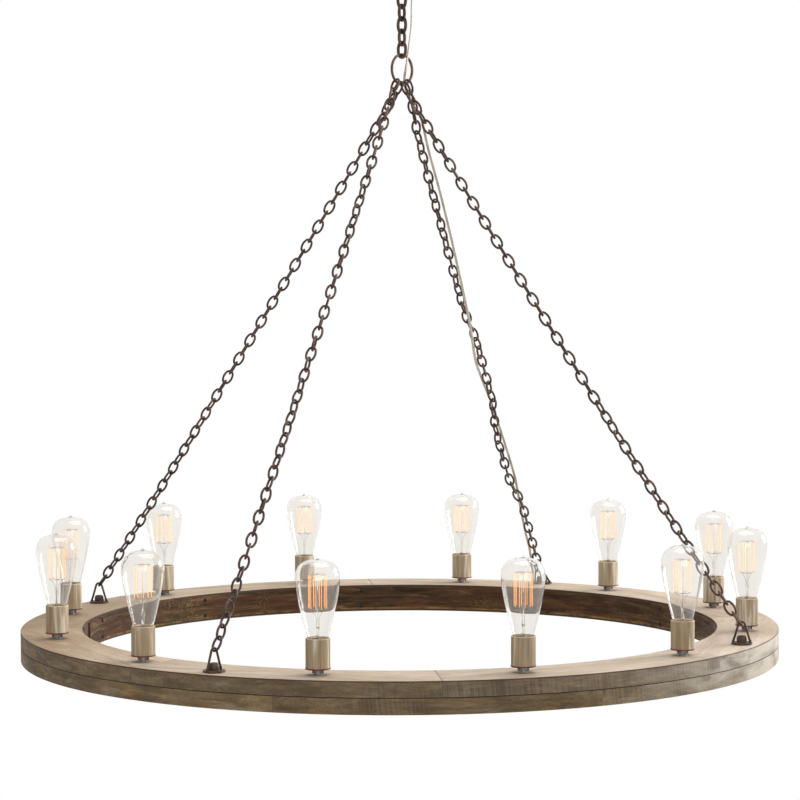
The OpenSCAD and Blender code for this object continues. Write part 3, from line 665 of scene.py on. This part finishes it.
class ChandelierSizes(bpy.types.PropertyGroup):
    """Small sizes of the dressed pieces."""

    wood_round: bpy.props.FloatProperty(
        name="Wood edge", description="Radius of the rim's worn edges", unit="LENGTH",
        default=1.0 * MM, min=0.2 * MM, max=4 * MM)
    link_wire: bpy.props.FloatProperty(
        name="Leg link wire", description="Thickness of the wire of the four legs' links", unit="LENGTH",
        default=3.7 * MM, min=3 * MM, max=3.8 * MM)
    top_wire: bpy.props.FloatProperty(
        name="Top link wire", description="Thickness of the wire of the stout top links", unit="LENGTH",
        default=5.2 * MM, min=4 * MM, max=5.3 * MM)
    filament: bpy.props.FloatProperty(
        name="Filament", description="Thickness of a glowing strand", unit="LENGTH",
        default=0.52 * MM, min=0.2 * MM, max=2 * MM)
    light: bpy.props.FloatProperty(
        name="Key light", description="Power of the large soft light at the right", unit="POWER",
        default=160.0, min=0, max=1000)


# ---------------------------------------------------------------- camera and stage

# The camera: its lens on a 36 mm sensor, its turns in radians, and its place from the middle of the rim's top
LENS = 112.33
YAW, PITCH, ROLL = 0.0022, 0.0453, -0.0035
EYE_X, EYE_Y, EYE_Z = 0.01073, -4.0387, 0.5447
# Soft lamps: name, place, size in metres, and share of the key light's power
SOFT_LAMPS = (
    ("key", (3.4, 1.5, -0.1), 1.8, 1.0),
    ("top", (0.3, 0.2, 1.6), 2.4, 0.4),
    ("fill", (0.6, -4.4, -0.2), 2.4, 0.3),
)
LAMPS_AIM = Vector((0, 0, -0.85))
FLOOR_Z = -2.6
FLOOR_R = 2.4


def white_rays(tree):
    """1 for rays that should see plain white: the camera's, and those of gloss and glass."""
    path = tree.nodes.new("ShaderNodeLightPath")
    seen = maths(tree, "MAXIMUM", path.outputs["Is Camera Ray"], path.outputs["Is Glossy Ray"])
    return maths(tree, "MAXIMUM", seen, path.outputs["Is Transmission Ray"])


class CHANDELIER_OT_stage(bpy.types.Operator):
    """Sets the camera, the lights, the white surroundings and the floor"""

    bl_idname = "chandelier.stage"
    bl_label = "Stage"

    def execute(self, context):
        scene = context.scene
        scene.view_settings.view_transform = "Standard"
        self.camera(scene)
        self.lights(scene, scene.chandelier_sizes.light)
        self.surroundings(scene)
        return {"FINISHED"}

    def camera(self, scene):
        camera = bpy.data.objects.new("camera", bpy.data.cameras.new("camera"))
        scene.collection.objects.link(camera)
        camera.data.sensor_width = 36
        camera.data.lens = LENS
        camera.data.clip_end = 100
        right = Vector((math.cos(YAW), math.sin(YAW), 0))
        ahead = Vector((-math.sin(YAW), math.cos(YAW), 0))
        forward = ahead * math.cos(PITCH) - Vector((0, 0, math.sin(PITCH)))
        up = ahead * math.sin(PITCH) + Vector((0, 0, math.cos(PITCH)))
        right, up = right * math.cos(ROLL) + up * math.sin(ROLL), up * math.cos(ROLL) - right * math.sin(ROLL)
        matrix = Matrix((right, up, -forward)).transposed().to_4x4()
        matrix.translation = Vector((WHEEL.x + EYE_X, WHEEL.y + EYE_Y, RIM_TOP + EYE_Z))
        camera.matrix_world = matrix
        scene.camera = camera

    def lights(self, scene, power):
        for name, place, size, share in SOFT_LAMPS:
            data = bpy.data.lights.new(name, "AREA")
            data.size, data.energy = size, power * share
            light = bpy.data.objects.new(name, data)
            light.location = place
            light.rotation_euler = (LAMPS_AIM - Vector(place)).to_track_quat("-Z", "Y").to_euler()
            scene.collection.objects.link(light)

    def surroundings(self, scene):
        world = bpy.data.worlds.new("white surroundings")
        scene.world = world
        world.use_nodes = True
        tree = world.node_tree
        tree.nodes.clear()
        soft = add_node(tree, "ShaderNodeBackground", Color=(0.96, 0.98, 1.0, 1), Strength=0.5)
        white = add_node(tree, "ShaderNodeBackground", Color=(1, 1, 1, 1), Strength=1.0)
        links = [(0, white_rays(tree)), (1, soft.outputs[0]), (2, white.outputs[0])]
        both = add_node(tree, "ShaderNodeMixShader", links)
        add_node(tree, "ShaderNodeOutputWorld", [(0, both.outputs[0])])
        shape = Shape()
        shape.add(*lathe([(0.0001, 0), (1.0, 0), (FLOOR_R, 0)], 64), Matrix.Translation((0, 0, FLOOR_Z)))
        floor = shape.piece("floor", None, floor_material())


# ---------------------------------------------------------------- supply cord

# The cord's route in millimetres, as part.scad gives it
CORD_KEYS = [
    (17, 0, -12), (17, 0, -30), (16.5, 0, -60), (15.5, 0, -90), (15, 0, -120), (13, 0, -140),
    (11, -0.5, -156), (9.2, 0, -172), (7.6, 3, -182), (6, 8.5, -192), (4.3, 16, -202),
    (4.1, 21.5, -212), (7, 26.5, -226), (14, 37, -241), (23, 46.5, -256), (32.3, 48, -273),
    (42.4, 60, -317.6), (62.5, 106, -388), (82, 145, -465), (91, 164, -504),
    (102, 188.5, -551), (114.2, 221, -609), (124.2, 264, -668), (134.2, 293.5, -697),
    (143.2, 310, -720), (151.5, 323.5, -738.6), (159, 339, -762), (170.6, 356, -794),
    (182, 372, -829), (191, 391, -857), (199.3, 412, -885.4), (204.2, 427, -908),
    (208.6, 441.5, -933), (215.5, 462, -965), (221.5, 478, -992), (228, 491.5, -1016),
    (232, 500.5, -1038),
]
# Heights over the rim's top, in millimetres, at which the cord goes down its hole
CORD_DROP = (30, 6, -8, -33.65)
CORD_STEPS = 8
# Radius of each core and its place from the cord's middle, in millimetres
CORE_R, CORE_X = 1.2, 1.18
# The flat cord's turn about its own line, in degrees, at these depths below the ceiling
CORD_TURNS = (0.16, 0.20, 0.27), (-116.7, -62.0, 0.0)
# Each length of the cord, by name: the height where it ends and the next begins, the pieces it runs between,
# and two more heights that nothing reads
CORD_CUTS = [
    ("supply_cord_canopy", -0.066, "ceiling", "upper_link", -0.036, -0.064),
    ("supply_cord_upper", -0.108, "upper_link", "top_chain", -0.070, -0.104),
    ("supply_cord_ring", -0.204, "top_chain", "pendant", -0.120, -0.198),
    ("supply_cord_leg", None, "pendant", None, None, None),
]


class CHANDELIER_OT_cord(bpy.types.Operator):
    """Lays the flat twin supply cord down the top chain and the rear right leg"""

    bl_idname = "chandelier.cord"
    bl_label = "Supply cord"

    def execute(self, context):
        keys = [np.array(k) * MM for k in CORD_KEYS]
        hole = on_wheel(LAMP_R, CORD_HOLE_A, 0)
        keys += [np.array((hole.x, hole.y, RIM_TOP + z * MM)) for z in CORD_DROP]
        line = np.array(smooth_line(keys, CORD_STEPS))
        outline = self.outline()
        across, along = self.frames(line)
        begin = 0
        for name, cut_z, first, second, start_z, end_z in CORD_CUTS:
            end = len(line) - 1 if cut_z is None else int(np.argmax(line[:, 2] < cut_z))
            part = slice(begin, end + 1)
            points = line[part]
            up = np.cross(along[part], across[part])
            ring = (points[:, None] + outline[None, :, :1] * across[part][:, None]
                    + outline[None, :, 1:] * up[:, None])
            size = len(points), len(outline)
            shape = Shape()
            shape.add(ring.reshape(-1, 3).tolist(), ring_faces(*size) + end_faces(*size))
            piece = shape.piece(name, None, finish("ivory"))
            if second is None:
                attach(piece, first)
                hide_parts("supply_cord")
            else:
                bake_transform(piece)
            begin = end
        return {"FINISHED"}

    def at_height(self, line, z):
        return tuple(line[int(np.argmax(line[:, 2] < z))])

    def outline(self):
        """Two round cores side by side, with a shallow valley between them."""
        points = []
        for centre, middle_a in ((CORE_X, 0), (-CORE_X, 180)):
            for k in range(9):
                a = math.radians(middle_a - 118 + 236 / 8 * k)
                points.append((centre + CORE_R * math.cos(a), CORE_R * math.sin(a)))
        return np.array(points) * MM

    def frames(self, line):
        """The cord's broad direction and its own direction at each point of its line."""
        along = np.gradient(line, axis=0)
        along /= np.linalg.norm(along, axis=1)[:, None]
        fixed = np.array(polar(1, HANGER_A - 90))
        across = fixed - (along @ fixed)[:, None] * along
        across /= np.linalg.norm(across, axis=1)[:, None]
        up = np.cross(along, across)
        depths, turns = CORD_TURNS
        turn = np.interp(-line[:, 2], depths, np.radians(turns))[:, None]
        return across * np.cos(turn) + up * np.sin(turn), along


# ---------------------------------------------------------------- iron


# Links, to the middle of the wire: half width, and radius of the ends and of the long sides
STOUT_LINK = (7.4 * MM, 6.2 * MM, 22 * MM)
SLIM_LINK = (6.9 * MM, 5.6 * MM, 20 * MM)


def islands(node):
    """The separate solids of a CAD node, each as an array of points."""
    bm = bmesh.new()
    bm.from_mesh(NODES[node].data)
    bmesh.ops.remove_doubles(bm, verts=bm.verts, dist=1e-6)
    found, seen = [], set()
    for vertex in bm.verts:
        if vertex.index in seen:
            continue
        seen.add(vertex.index)
        group, stack = [], [vertex]
        while stack:
            v = stack.pop()
            group.append(tuple(v.co))
            for e in v.link_edges:
                w = e.other_vert(v)
                if w.index not in seen:
                    seen.add(w.index)
                    stack.append(w)
        found.append(np.array(group))
    bm.free()
    return found


def link_line(half_width, end_r, side_r, steps):
    """The middle line of an oval link in the XZ plane, long in Z."""
    join = math.acos((side_r - half_width) / (side_r - end_r))
    rise = (side_r - end_r) * math.sin(join)
    points = []
    for quarter in range(4):
        sx, sz = (1, -1, -1, 1)[quarter], (1, 1, -1, -1)[quarter]
        piece = []
        for k in range(steps):
            a = join * k / steps
            piece.append((side_r * math.cos(a) - (side_r - half_width), side_r * math.sin(a)))
        for k in range(steps):
            a = join + (math.pi / 2 - join) * k / steps
            piece.append((end_r * math.cos(a), rise + end_r * math.sin(a)))
        piece.append((0, rise + end_r))
        if quarter % 2:
            piece = piece[::-1]
        points += [(sx * x, 0, sz * z) for x, z in piece[:-1]]
    return points


def link_place(points):
    """The place and turn of a link, from its own solid: long in Z, broad in X."""
    axes = np.linalg.svd(points - points.mean(0), full_matrices=False)[2]
    long, flat = axes[0] * np.sign(axes[0][2]), axes[2]
    broad = np.cross(flat, long)
    centre = sum(((points @ axis).min() + (points @ axis).max()) / 2 * axis for axis in (long, flat, broad))
    return Matrix([[broad[k], flat[k], long[k], centre[k]] for k in range(3)] + [[0, 0, 0, 1]])


class CHANDELIER_OT_chains(bpy.types.Operator):
    """Forges the oval links of the top chain and of the four legs, and the hanging ring"""

    bl_idname = "chandelier.chains"
    bl_label = "Chains and ring"

    def execute(self, context):
        sizes = context.scene.chandelier_sizes
        across = (0, 1, 0)
        stout = tube(link_line(*STOUT_LINK, 6), sizes.top_wire / 2, 12, closed=True, up=across)
        slim = tube(link_line(*SLIM_LINK, 5), sizes.link_wire / 2, 10, closed=True, up=across)
        legs = ("chain_rear_right", "chain_rear_left", "chain_front_left", "chain_front_right")
        for node, body, form in (
            ("upper_link", "upper_link", stout), ("top_chain", "top_chain", stout),
            *((leg, "pendant", slim) for leg in legs),
        ):
            shape = Shape()
            for points in islands(node):
                shape.add(*form, link_place(points))
            piece = shape.piece(node + "_links", body, finish("chain"))
            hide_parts(node)
        dress("hanging_ring", "ring")
        return {"FINISHED"}


class CHANDELIER_OT_fitting(bpy.types.Operator):
    """Finishes the ceiling bracket, the canopy with its loop, the hangers, and the band with its screws"""

    bl_idname = "chandelier.fitting"
    bl_label = "Ceiling fitting, hangers and band"

    def execute(self, context):
        for node, look in (
            ("ceiling_bracket", "zinc"), ("canopy", "canopy"), ("canopy_loop", "canopy"),
            ("hanger_plates", "hanger"), ("hanger_bails", "hanger"), ("hanger_bolts", "hanger"),
            ("hanger_nuts", "nut"), ("inner_band", "band"), ("band_screws", "screw"),
        ):
            dress(node, look)
        mesh = NODES["inner_band"].data
        angle, radius, z = round_wheel(points_of(mesh), BAND_OPENING_A)
        mark(mesh, "band_at", np.stack((np.radians(angle) * WHEEL_R, radius, z), 1))
        return {"FINISHED"}


# ---------------------------------------------------------------- rim


# Each layer: its first joint, the seed of its grain, and how pale each felloe is, from 0 to 1
LAYERS = {
    "rim_upper": (5.7, 11, (0.35, 0.3, 0.3, 0.1, 0.5, 0.45, 0.5, 0.75)),
    "rim_lower": (28.2, 47, (0.5, 0.5, 0.5, 0.45, 0.8, 0.35, 0.65, 0.7)),
}
POCKET_R = 12 * MM
POCKET_DEPTH = 9.5 * MM
CORD_HOLE_R = 3.4 * MM
# Steps along, across and up from one felloe's board to the next in the grain
BOARD_STEPS = (1.7, 0.37, 0.11)
# Round the wheel, as degrees and shares: the saw's marks and the bleaching outside, which is partly a painted
# highlight where the key light grazes the rim, and the stain on top
SAWN = (228, 234, 242, 262, 268, 298, 306), (0.1, 0.6, 0.1, 0.1, 1, 1, 0.1)
STAINED = (0, 30, 140, 172, 205, 225, 325, 345), (0.7, 0, 0, 1, 1, 0, 0, 0.7)
BLEACHED_AND_LIT = (300, 325, 350), (0, 0.9, 0.9)


class CHANDELIER_OT_rim(bpy.types.Operator):
    """Shapes the felloes of the rim's two layers, with worn edges, nut pockets and the cord's hole"""

    bl_idname = "chandelier.rim"
    bl_label = "Rim"

    def execute(self, context):
        round_r = context.scene.chandelier_sizes.wood_round
        for name, low, high in (("rim_upper", RIM_MID, RIM_TOP), ("rim_lower", RIM_BOTTOM, RIM_MID)):
            first, seed, tones = LAYERS[name]
            shape = Shape()
            for k in range(FELLOES):
                shape.add(*self.felloe(low, high, first + FELLOE_SPAN * k, round_r, seed + k))
            piece = shape.piece(name + "_felloes", "pendant", finish("wood"), sharp=50)
            cut(piece, self.holes(name))
            self.mark_grain(piece.data, first, seed, tones)
            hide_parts(name)
        return {"FINISHED"}

    def holes(self, name):
        """The nuts' pockets under the lower layer, or the cord's hole in the upper one."""
        cutters = Shape()
        if name == "rim_upper":
            at = on_wheel(LAMP_R, CORD_HOLE_A, 0)
            cutters.add(*drill(CORD_HOLE_R, RIM_MID - MM, RIM_TOP + MM), Matrix.Translation(at))
        else:
            for j in range(HANGERS):
                cutters.add(*drill(POCKET_R, RIM_BOTTOM - MM, RIM_BOTTOM + POCKET_DEPTH),
                            Matrix.Translation(hanger_place(j, 0)))
        return cutters

    def mark_grain(self, mesh, first, seed, tones):
        """Tells the wood's finish where each point lies in its felloe's straight board, and its looks."""
        angle, radius, z = round_wheel(points_of(mesh), first)
        felloe = np.floor(angle / FELLOE_SPAN)
        swing = np.radians(angle - FELLOE_SPAN * felloe - FELLOE_SPAN / 2)
        step_along, step_across, step_up = BOARD_STEPS
        along = radius * np.sin(swing) + (seed + felloe) * step_along
        across = radius * np.cos(swing) + felloe * step_across
        mark(mesh, "grain_at", np.stack((along, across, z + felloe * step_up), 1))
        pale = np.array(tones)[felloe.astype(int) % FELLOES]
        warm = np.abs(np.sin((seed + felloe) * 78.2)) % 1
        # Points on the face inside the band, which the wood's finish paints dark: partly stain, partly
        # painted shade
        inside = (radius < WHEEL_R - RIM_W + 0.4 * MM).astype(float)
        mark(mesh, "felloe_tone", np.stack((pale, warm, inside), 1))
        place = (angle + first) % 360
        # Wear round the wheel: saw marks, the stain on top, and the whitening outside, which is partly a
        # painted highlight
        wear = [np.interp(place, *table) for table in (SAWN, STAINED, BLEACHED_AND_LIT)]
        mark(mesh, "felloe_wear", np.stack(wear, 1))

    def felloe(self, low, high, angle, r, seed):
        """One curved block, swept along its arc, with rounded and slightly uneven edges."""
        gap = math.degrees(0.1 * MM / WHEEL_R)
        span = FELLOE_SPAN - gap
        inner, outer = WHEEL_R - RIM_W, WHEEL_R
        section = []
        for cx, cz, turn in (
            (outer - r, high - r, 0), (inner + r, high - r, 90),
            (inner + r, low + r, 180), (outer - r, low + r, 270),
        ):
            for k in range(4):
                a = math.radians(turn + 30 * k)
                section.append((cx + r * math.cos(a), cz + r * math.sin(a)))
        # The ends pull in a little over the last 0.6 mm
        steps = 56
        first, second, third = (math.degrees(e * MM / WHEEL_R) for e in (0.0, 0.2, 0.6))
        angles = [first, second, *np.linspace(third, span - third, steps), span - second, span - first]
        pulls = [0.35, 0.1] + [0.0] * steps + [0.1, 0.35]
        middle_r, middle_z = (inner + outer) / 2, (low + high) / 2
        rows = []
        for a, pull in zip(angles, pulls):
            for x, z in section:
                px = x - math.copysign(pull * MM, x - middle_r)
                pz = z - math.copysign(pull * MM, z - middle_z)
                wave = noise.noise((a * 0.9 + seed * 7, x * 30, z * 160)) * 0.22 * MM
                if x > middle_r:
                    px -= abs(wave)
                pz -= math.copysign(abs(noise.noise((a * 1.3, seed * 3.1, x * 60))) * 0.12 * MM, z - middle_z)
                p = polar(px, angle + gap / 2 + a, pz)
                rows.append((p.x + WHEEL.x, p.y + WHEEL.y, p.z))
        sides = len(section)
        faces = [f[::-1] for f in ring_faces(len(angles), sides) + end_faces(len(angles), sides)]
        return rows, faces


# ---------------------------------------------------------------- lamps


class CHANDELIER_OT_sockets(bpy.types.Operator):
    """Finishes the sockets, their fibre discs, nipples, sleeves and wiring"""

    bl_idname = "chandelier.sockets"
    bl_label = "Sockets"

    def execute(self, context):
        for node, look in (
            ("socket_nipples", "zinc"), ("fibre_discs", "fibre"), ("socket_sleeves", "sleeve"),
            ("lamp_sockets", "phenolic"), ("ring_wiring", "ivory"),
        ):
            dress(node, look)
        # The sleeve's bore, the socket's mouth and its screw shell
        self.dress_inside("socket_sleeves", "liner", SLEEVE_BORE_R + 0.1 * MM, SLEEVE_FOOT)
        self.dress_inside("lamp_sockets", "liner", SLEEVE_BORE_R, SLEEVE_TOP - 6.1 * MM)
        self.dress_inside("lamp_sockets", "brass", 13.98 * MM, SLEEVE_FOOT + 6.05 * MM)
        return {"FINISHED"}

    def dress_inside(self, node, look, radius, low):
        """Gives another finish to a node's faces that lie near a lamp's axis and above low."""
        mesh = NODES[node].data
        mesh.materials.append(finish(look))
        slot = len(mesh.materials) - 1
        axes = [lamp_place(i, 0).xy for i in range(LAMPS)]
        for polygon in mesh.polygons:
            if polygon.center.z > low and min((polygon.center.xy - axis).length for axis in axes) < radius:
                polygon.material_index = slot


# Outside of the glass, in millimetres from the cap's top: radius and height
GLASS_KEYS = [
    (11.6, -6), (11.6, -1.2), (12.3, 0.5), (15, 2.8), (17.5, 12), (20.4, 23.4), (23.9, 38),
    (27, 52), (29.8, 67), (31.4, 80), (31.6, 87), (31, 93.5), (29, 99.5), (25.2, 105),
    (19, 109.2), (12, 111.2), (5, 112),
]

GLASS_TIP = [(3.0, 112.25), (2.75, 113.2), (2.3, 114.3), (1.5, 115.1), (0.6, 115.38), (0.02, 115.4)]
# Wall of the blown glass, in millimetres
GLASS_T = 0.35
# The cap's radius, its curled foot with its inside up to the mouth, and its thread, in millimetres
CAP_R = 13.05
CAP_CURL = [(12.9, -19.9), (12.3, -20.6), (11.5, -21.0), (11.2, -20.6), (12.0, -19.8), (12.1, -3.0),
            (12.55, 0.0)]
THREAD_PITCH, THREAD_DEPTH = 3.629, 0.45
# Outline of the stem and line of a lead wire: radius and height in millimetres
STEM_KEYS = [(0.02, -5.4), (9.6, -5.4), (7.4, -3.6), (4.2, -0.5), (2.7, 4), (2.1, 9), (1.9, 14), (2.5, 17),
             (2.7, 20), (1.9, 24), (1.1, 27), (0.9, 32), (0.9, 60), (0.9, 89), (1.4, 90.5), (1.5, 92),
             (0.9, 93), (0.02, 93.2)]
LEAD_KEYS = [(1.6, 20), (2.4, 30), (6.5, 38.5), (12.3, 43.2)]
# The cage of filament: its strands, and its radius and the heights of its hooks in millimetres
STRANDS = 10
CAGE_R = 13.0
CAGE_LOW, CAGE_HIGH = 43.4, 90.5
# Turn of every other bulb's cage, and how much further the rest are turned, in degrees
CAGE_TURN, CAGE_STEP = 9, 18
# Height of the contact's solder, under its dark insulator
SOLDER_H = 1.45 * MM


class CHANDELIER_OT_bulbs(bpy.types.Operator):
    """Blows the bulbs: glass, screw cap, stem, hooks and the cage of filament"""

    bl_idname = "chandelier.bulbs"
    bl_label = "Bulbs"

    def execute(self, context):
        strand = context.scene.chandelier_sizes.filament
        kinds = (
            ("glass", [self.glass()], "glass", "bulb_glass"), ("cap", [self.cap()], "brass", "cap_brass"),
            ("stem", [self.stem()], "stem", "bulb_glass"), ("hooks", self.hooks(), "hook", "cap_brass"),
            ("cage", self.cage(strand), "glow", "cap_brass"),
        )
        for i in range(LAMPS):
            name = "bulb_%02d" % (i + 1)
            turn = math.radians(CAGE_TURN + CAGE_STEP * (i % 2))
            matrix = Matrix.Translation(lamp_place(i, CAP_TOP)) @ Matrix.Rotation(turn, 4, "Z")
            for part, forms, look, slot in kinds:
                shape = Shape()
                for verts, faces in forms:
                    shape.add(verts, faces, matrix)
                piece = shape.piece(name + "_" + part + "_form", name, finish(look), sharp=60)
                if part in ("glass", "cap"):
                    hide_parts(name + "_" + part)
            mesh = dress(name + "_contact", "solder")
            mesh.materials.append(finish("vitrite"))
            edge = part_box(name + "_contact")[0].z + SOLDER_H
            for polygon in mesh.polygons:
                if polygon.center.z > edge:
                    polygon.material_index = 1
        return {"FINISHED"}

    def glass(self):
        """Outside and inside of the glass, with the drawn tip on its crown."""
        outer = [tuple(p) for p in smooth_line(GLASS_KEYS, 4)]
        inner = []
        for k, p in enumerate(outer):
            a = np.array(outer[max(k - 1, 0)])
            b = np.array(outer[min(k + 1, len(outer) - 1)])
            d = (b - a) / np.linalg.norm(b - a)
            inner.append((p[0] - GLASS_T * d[1], p[1] + GLASS_T * d[0]))
        profile = outer + GLASS_TIP + [(0.02, GLASS_KEYS[-1][1] - GLASS_T)] + inner[::-1]
        return lathe([(r * MM, z * MM) for r, z in profile], 56, closed=True)

    def cap(self):
        """Rolled brass with a true helical thread, a plain skirt and a curled foot."""
        sides, top, foot, fade_h = 48, -3.0, -19.4, 1.5
        rows = [[(CAP_R, 0.0)] * sides, [(CAP_R, top + 0.4)] * sides]
        for z in np.linspace(top, foot, 60):
            fade = max(min(1.0, (top - z) / fade_h, (z - foot) / fade_h), 0)
            phases = [math.tau * ((top - z) / THREAD_PITCH + k / sides) for k in range(sides)]
            rows.append([(CAP_R - THREAD_DEPTH * (1 - math.cos(phase)) * fade, z) for phase in phases])
        rows += [[point] * sides for point in CAP_CURL]
        verts = []
        for row in rows:
            for k, (r, z) in enumerate(row):
                a = math.tau * k / sides
                verts.append((r * MM * math.cos(a), r * MM * math.sin(a), z * MM))
        return verts, [f[::-1] for f in ring_faces(len(rows), sides, closed_rows=True)]

    def stem(self):
        """The glass stem: its flare in the neck, its pinch, and the slim rod up to the cage."""
        return lathe([(r * MM, z * MM) for r, z in STEM_KEYS], 20)

    def hooks(self):
        """Lead wires and the star of hooks at the top and foot of the cage."""
        lines = []
        for z, out, first in ((CAGE_LOW, -1, 1), (CAGE_HIGH, 1, 0)):
            for k in range(STRANDS // 2):
                turn = 360 / STRANDS * (2 * k + first)
                a, b = polar(CAGE_R - 0.5, turn, z), polar(CAGE_R - 0.5, turn + 360 / STRANDS, z)
                middle = (a + b) / 2 + Vector((0, 0, 0.5 * out))
                start = Vector((0, 0, z + (0.6 if out > 0 else -2.4)))
                lines += [(a, middle, b), (start, (start + middle) / 2 + Vector((0, 0, 0.8 * out)), middle)]
        forms = [tube([p * MM for p in line], 0.2 * MM, 6) for line in lines]
        for side in (-1, 1):
            line = smooth_line([(side * x, 0, z) for x, z in LEAD_KEYS], 4)
            forms.append(tube([Vector(p) * MM for p in line], 0.25 * MM, 6))
        return forms

    def cage(self, strand):
        """The filament's glowing lengths, up and down round the cage."""
        forms = []
        for k in range(STRANDS):
            line = [polar(CAGE_R - drawn, 360 / STRANDS * k, z) * MM
                    for drawn, z in ((0.2, 43.6), (0, 45), (0, 60), (0, 75), (0, 89), (0.2, 90.3))]
            forms.append(tube(line, strand / 2, 8))
        return forms


# ---------------------------------------------------------------- panel and run

STEPS = ("stage", "cord", "chains", "fitting", "rim", "sockets", "bulbs")


class CHANDELIER_PT_panel(bpy.types.Panel):
    """Lists the chandelier's pieces and settings"""

    bl_label = "Chandelier"
    bl_idname = "CHANDELIER_PT_panel"
    bl_space_type = "VIEW_3D"
    bl_region_type = "UI"
    bl_category = "Chandelier"

    def draw(self, context):
        for group in (context.scene.chandelier_finish, context.scene.chandelier_sizes):
            for name in group.__annotations__:
                self.layout.prop(group, name)
        for step in STEPS:
            self.layout.operator("chandelier." + step)


CLASSES = (
    ChandelierFinish, ChandelierSizes, CHANDELIER_OT_stage, CHANDELIER_OT_cord, CHANDELIER_OT_chains,
    CHANDELIER_OT_fitting, CHANDELIER_OT_rim, CHANDELIER_OT_sockets, CHANDELIER_OT_bulbs,
    CHANDELIER_PT_panel,
)


def register():
    for each in CLASSES:
        bpy.utils.register_class(each)
    bpy.types.Scene.chandelier_finish = bpy.props.PointerProperty(type=ChandelierFinish)
    bpy.types.Scene.chandelier_sizes = bpy.props.PointerProperty(type=ChandelierSizes)


def unregister():
    del bpy.types.Scene.chandelier_finish
    del bpy.types.Scene.chandelier_sizes
    for each in reversed(CLASSES):
        bpy.utils.unregister_class(each)


def main():
    register()
    for step in STEPS:
        getattr(bpy.ops.chandelier, step)()


if __name__ == "__main__":
    main()
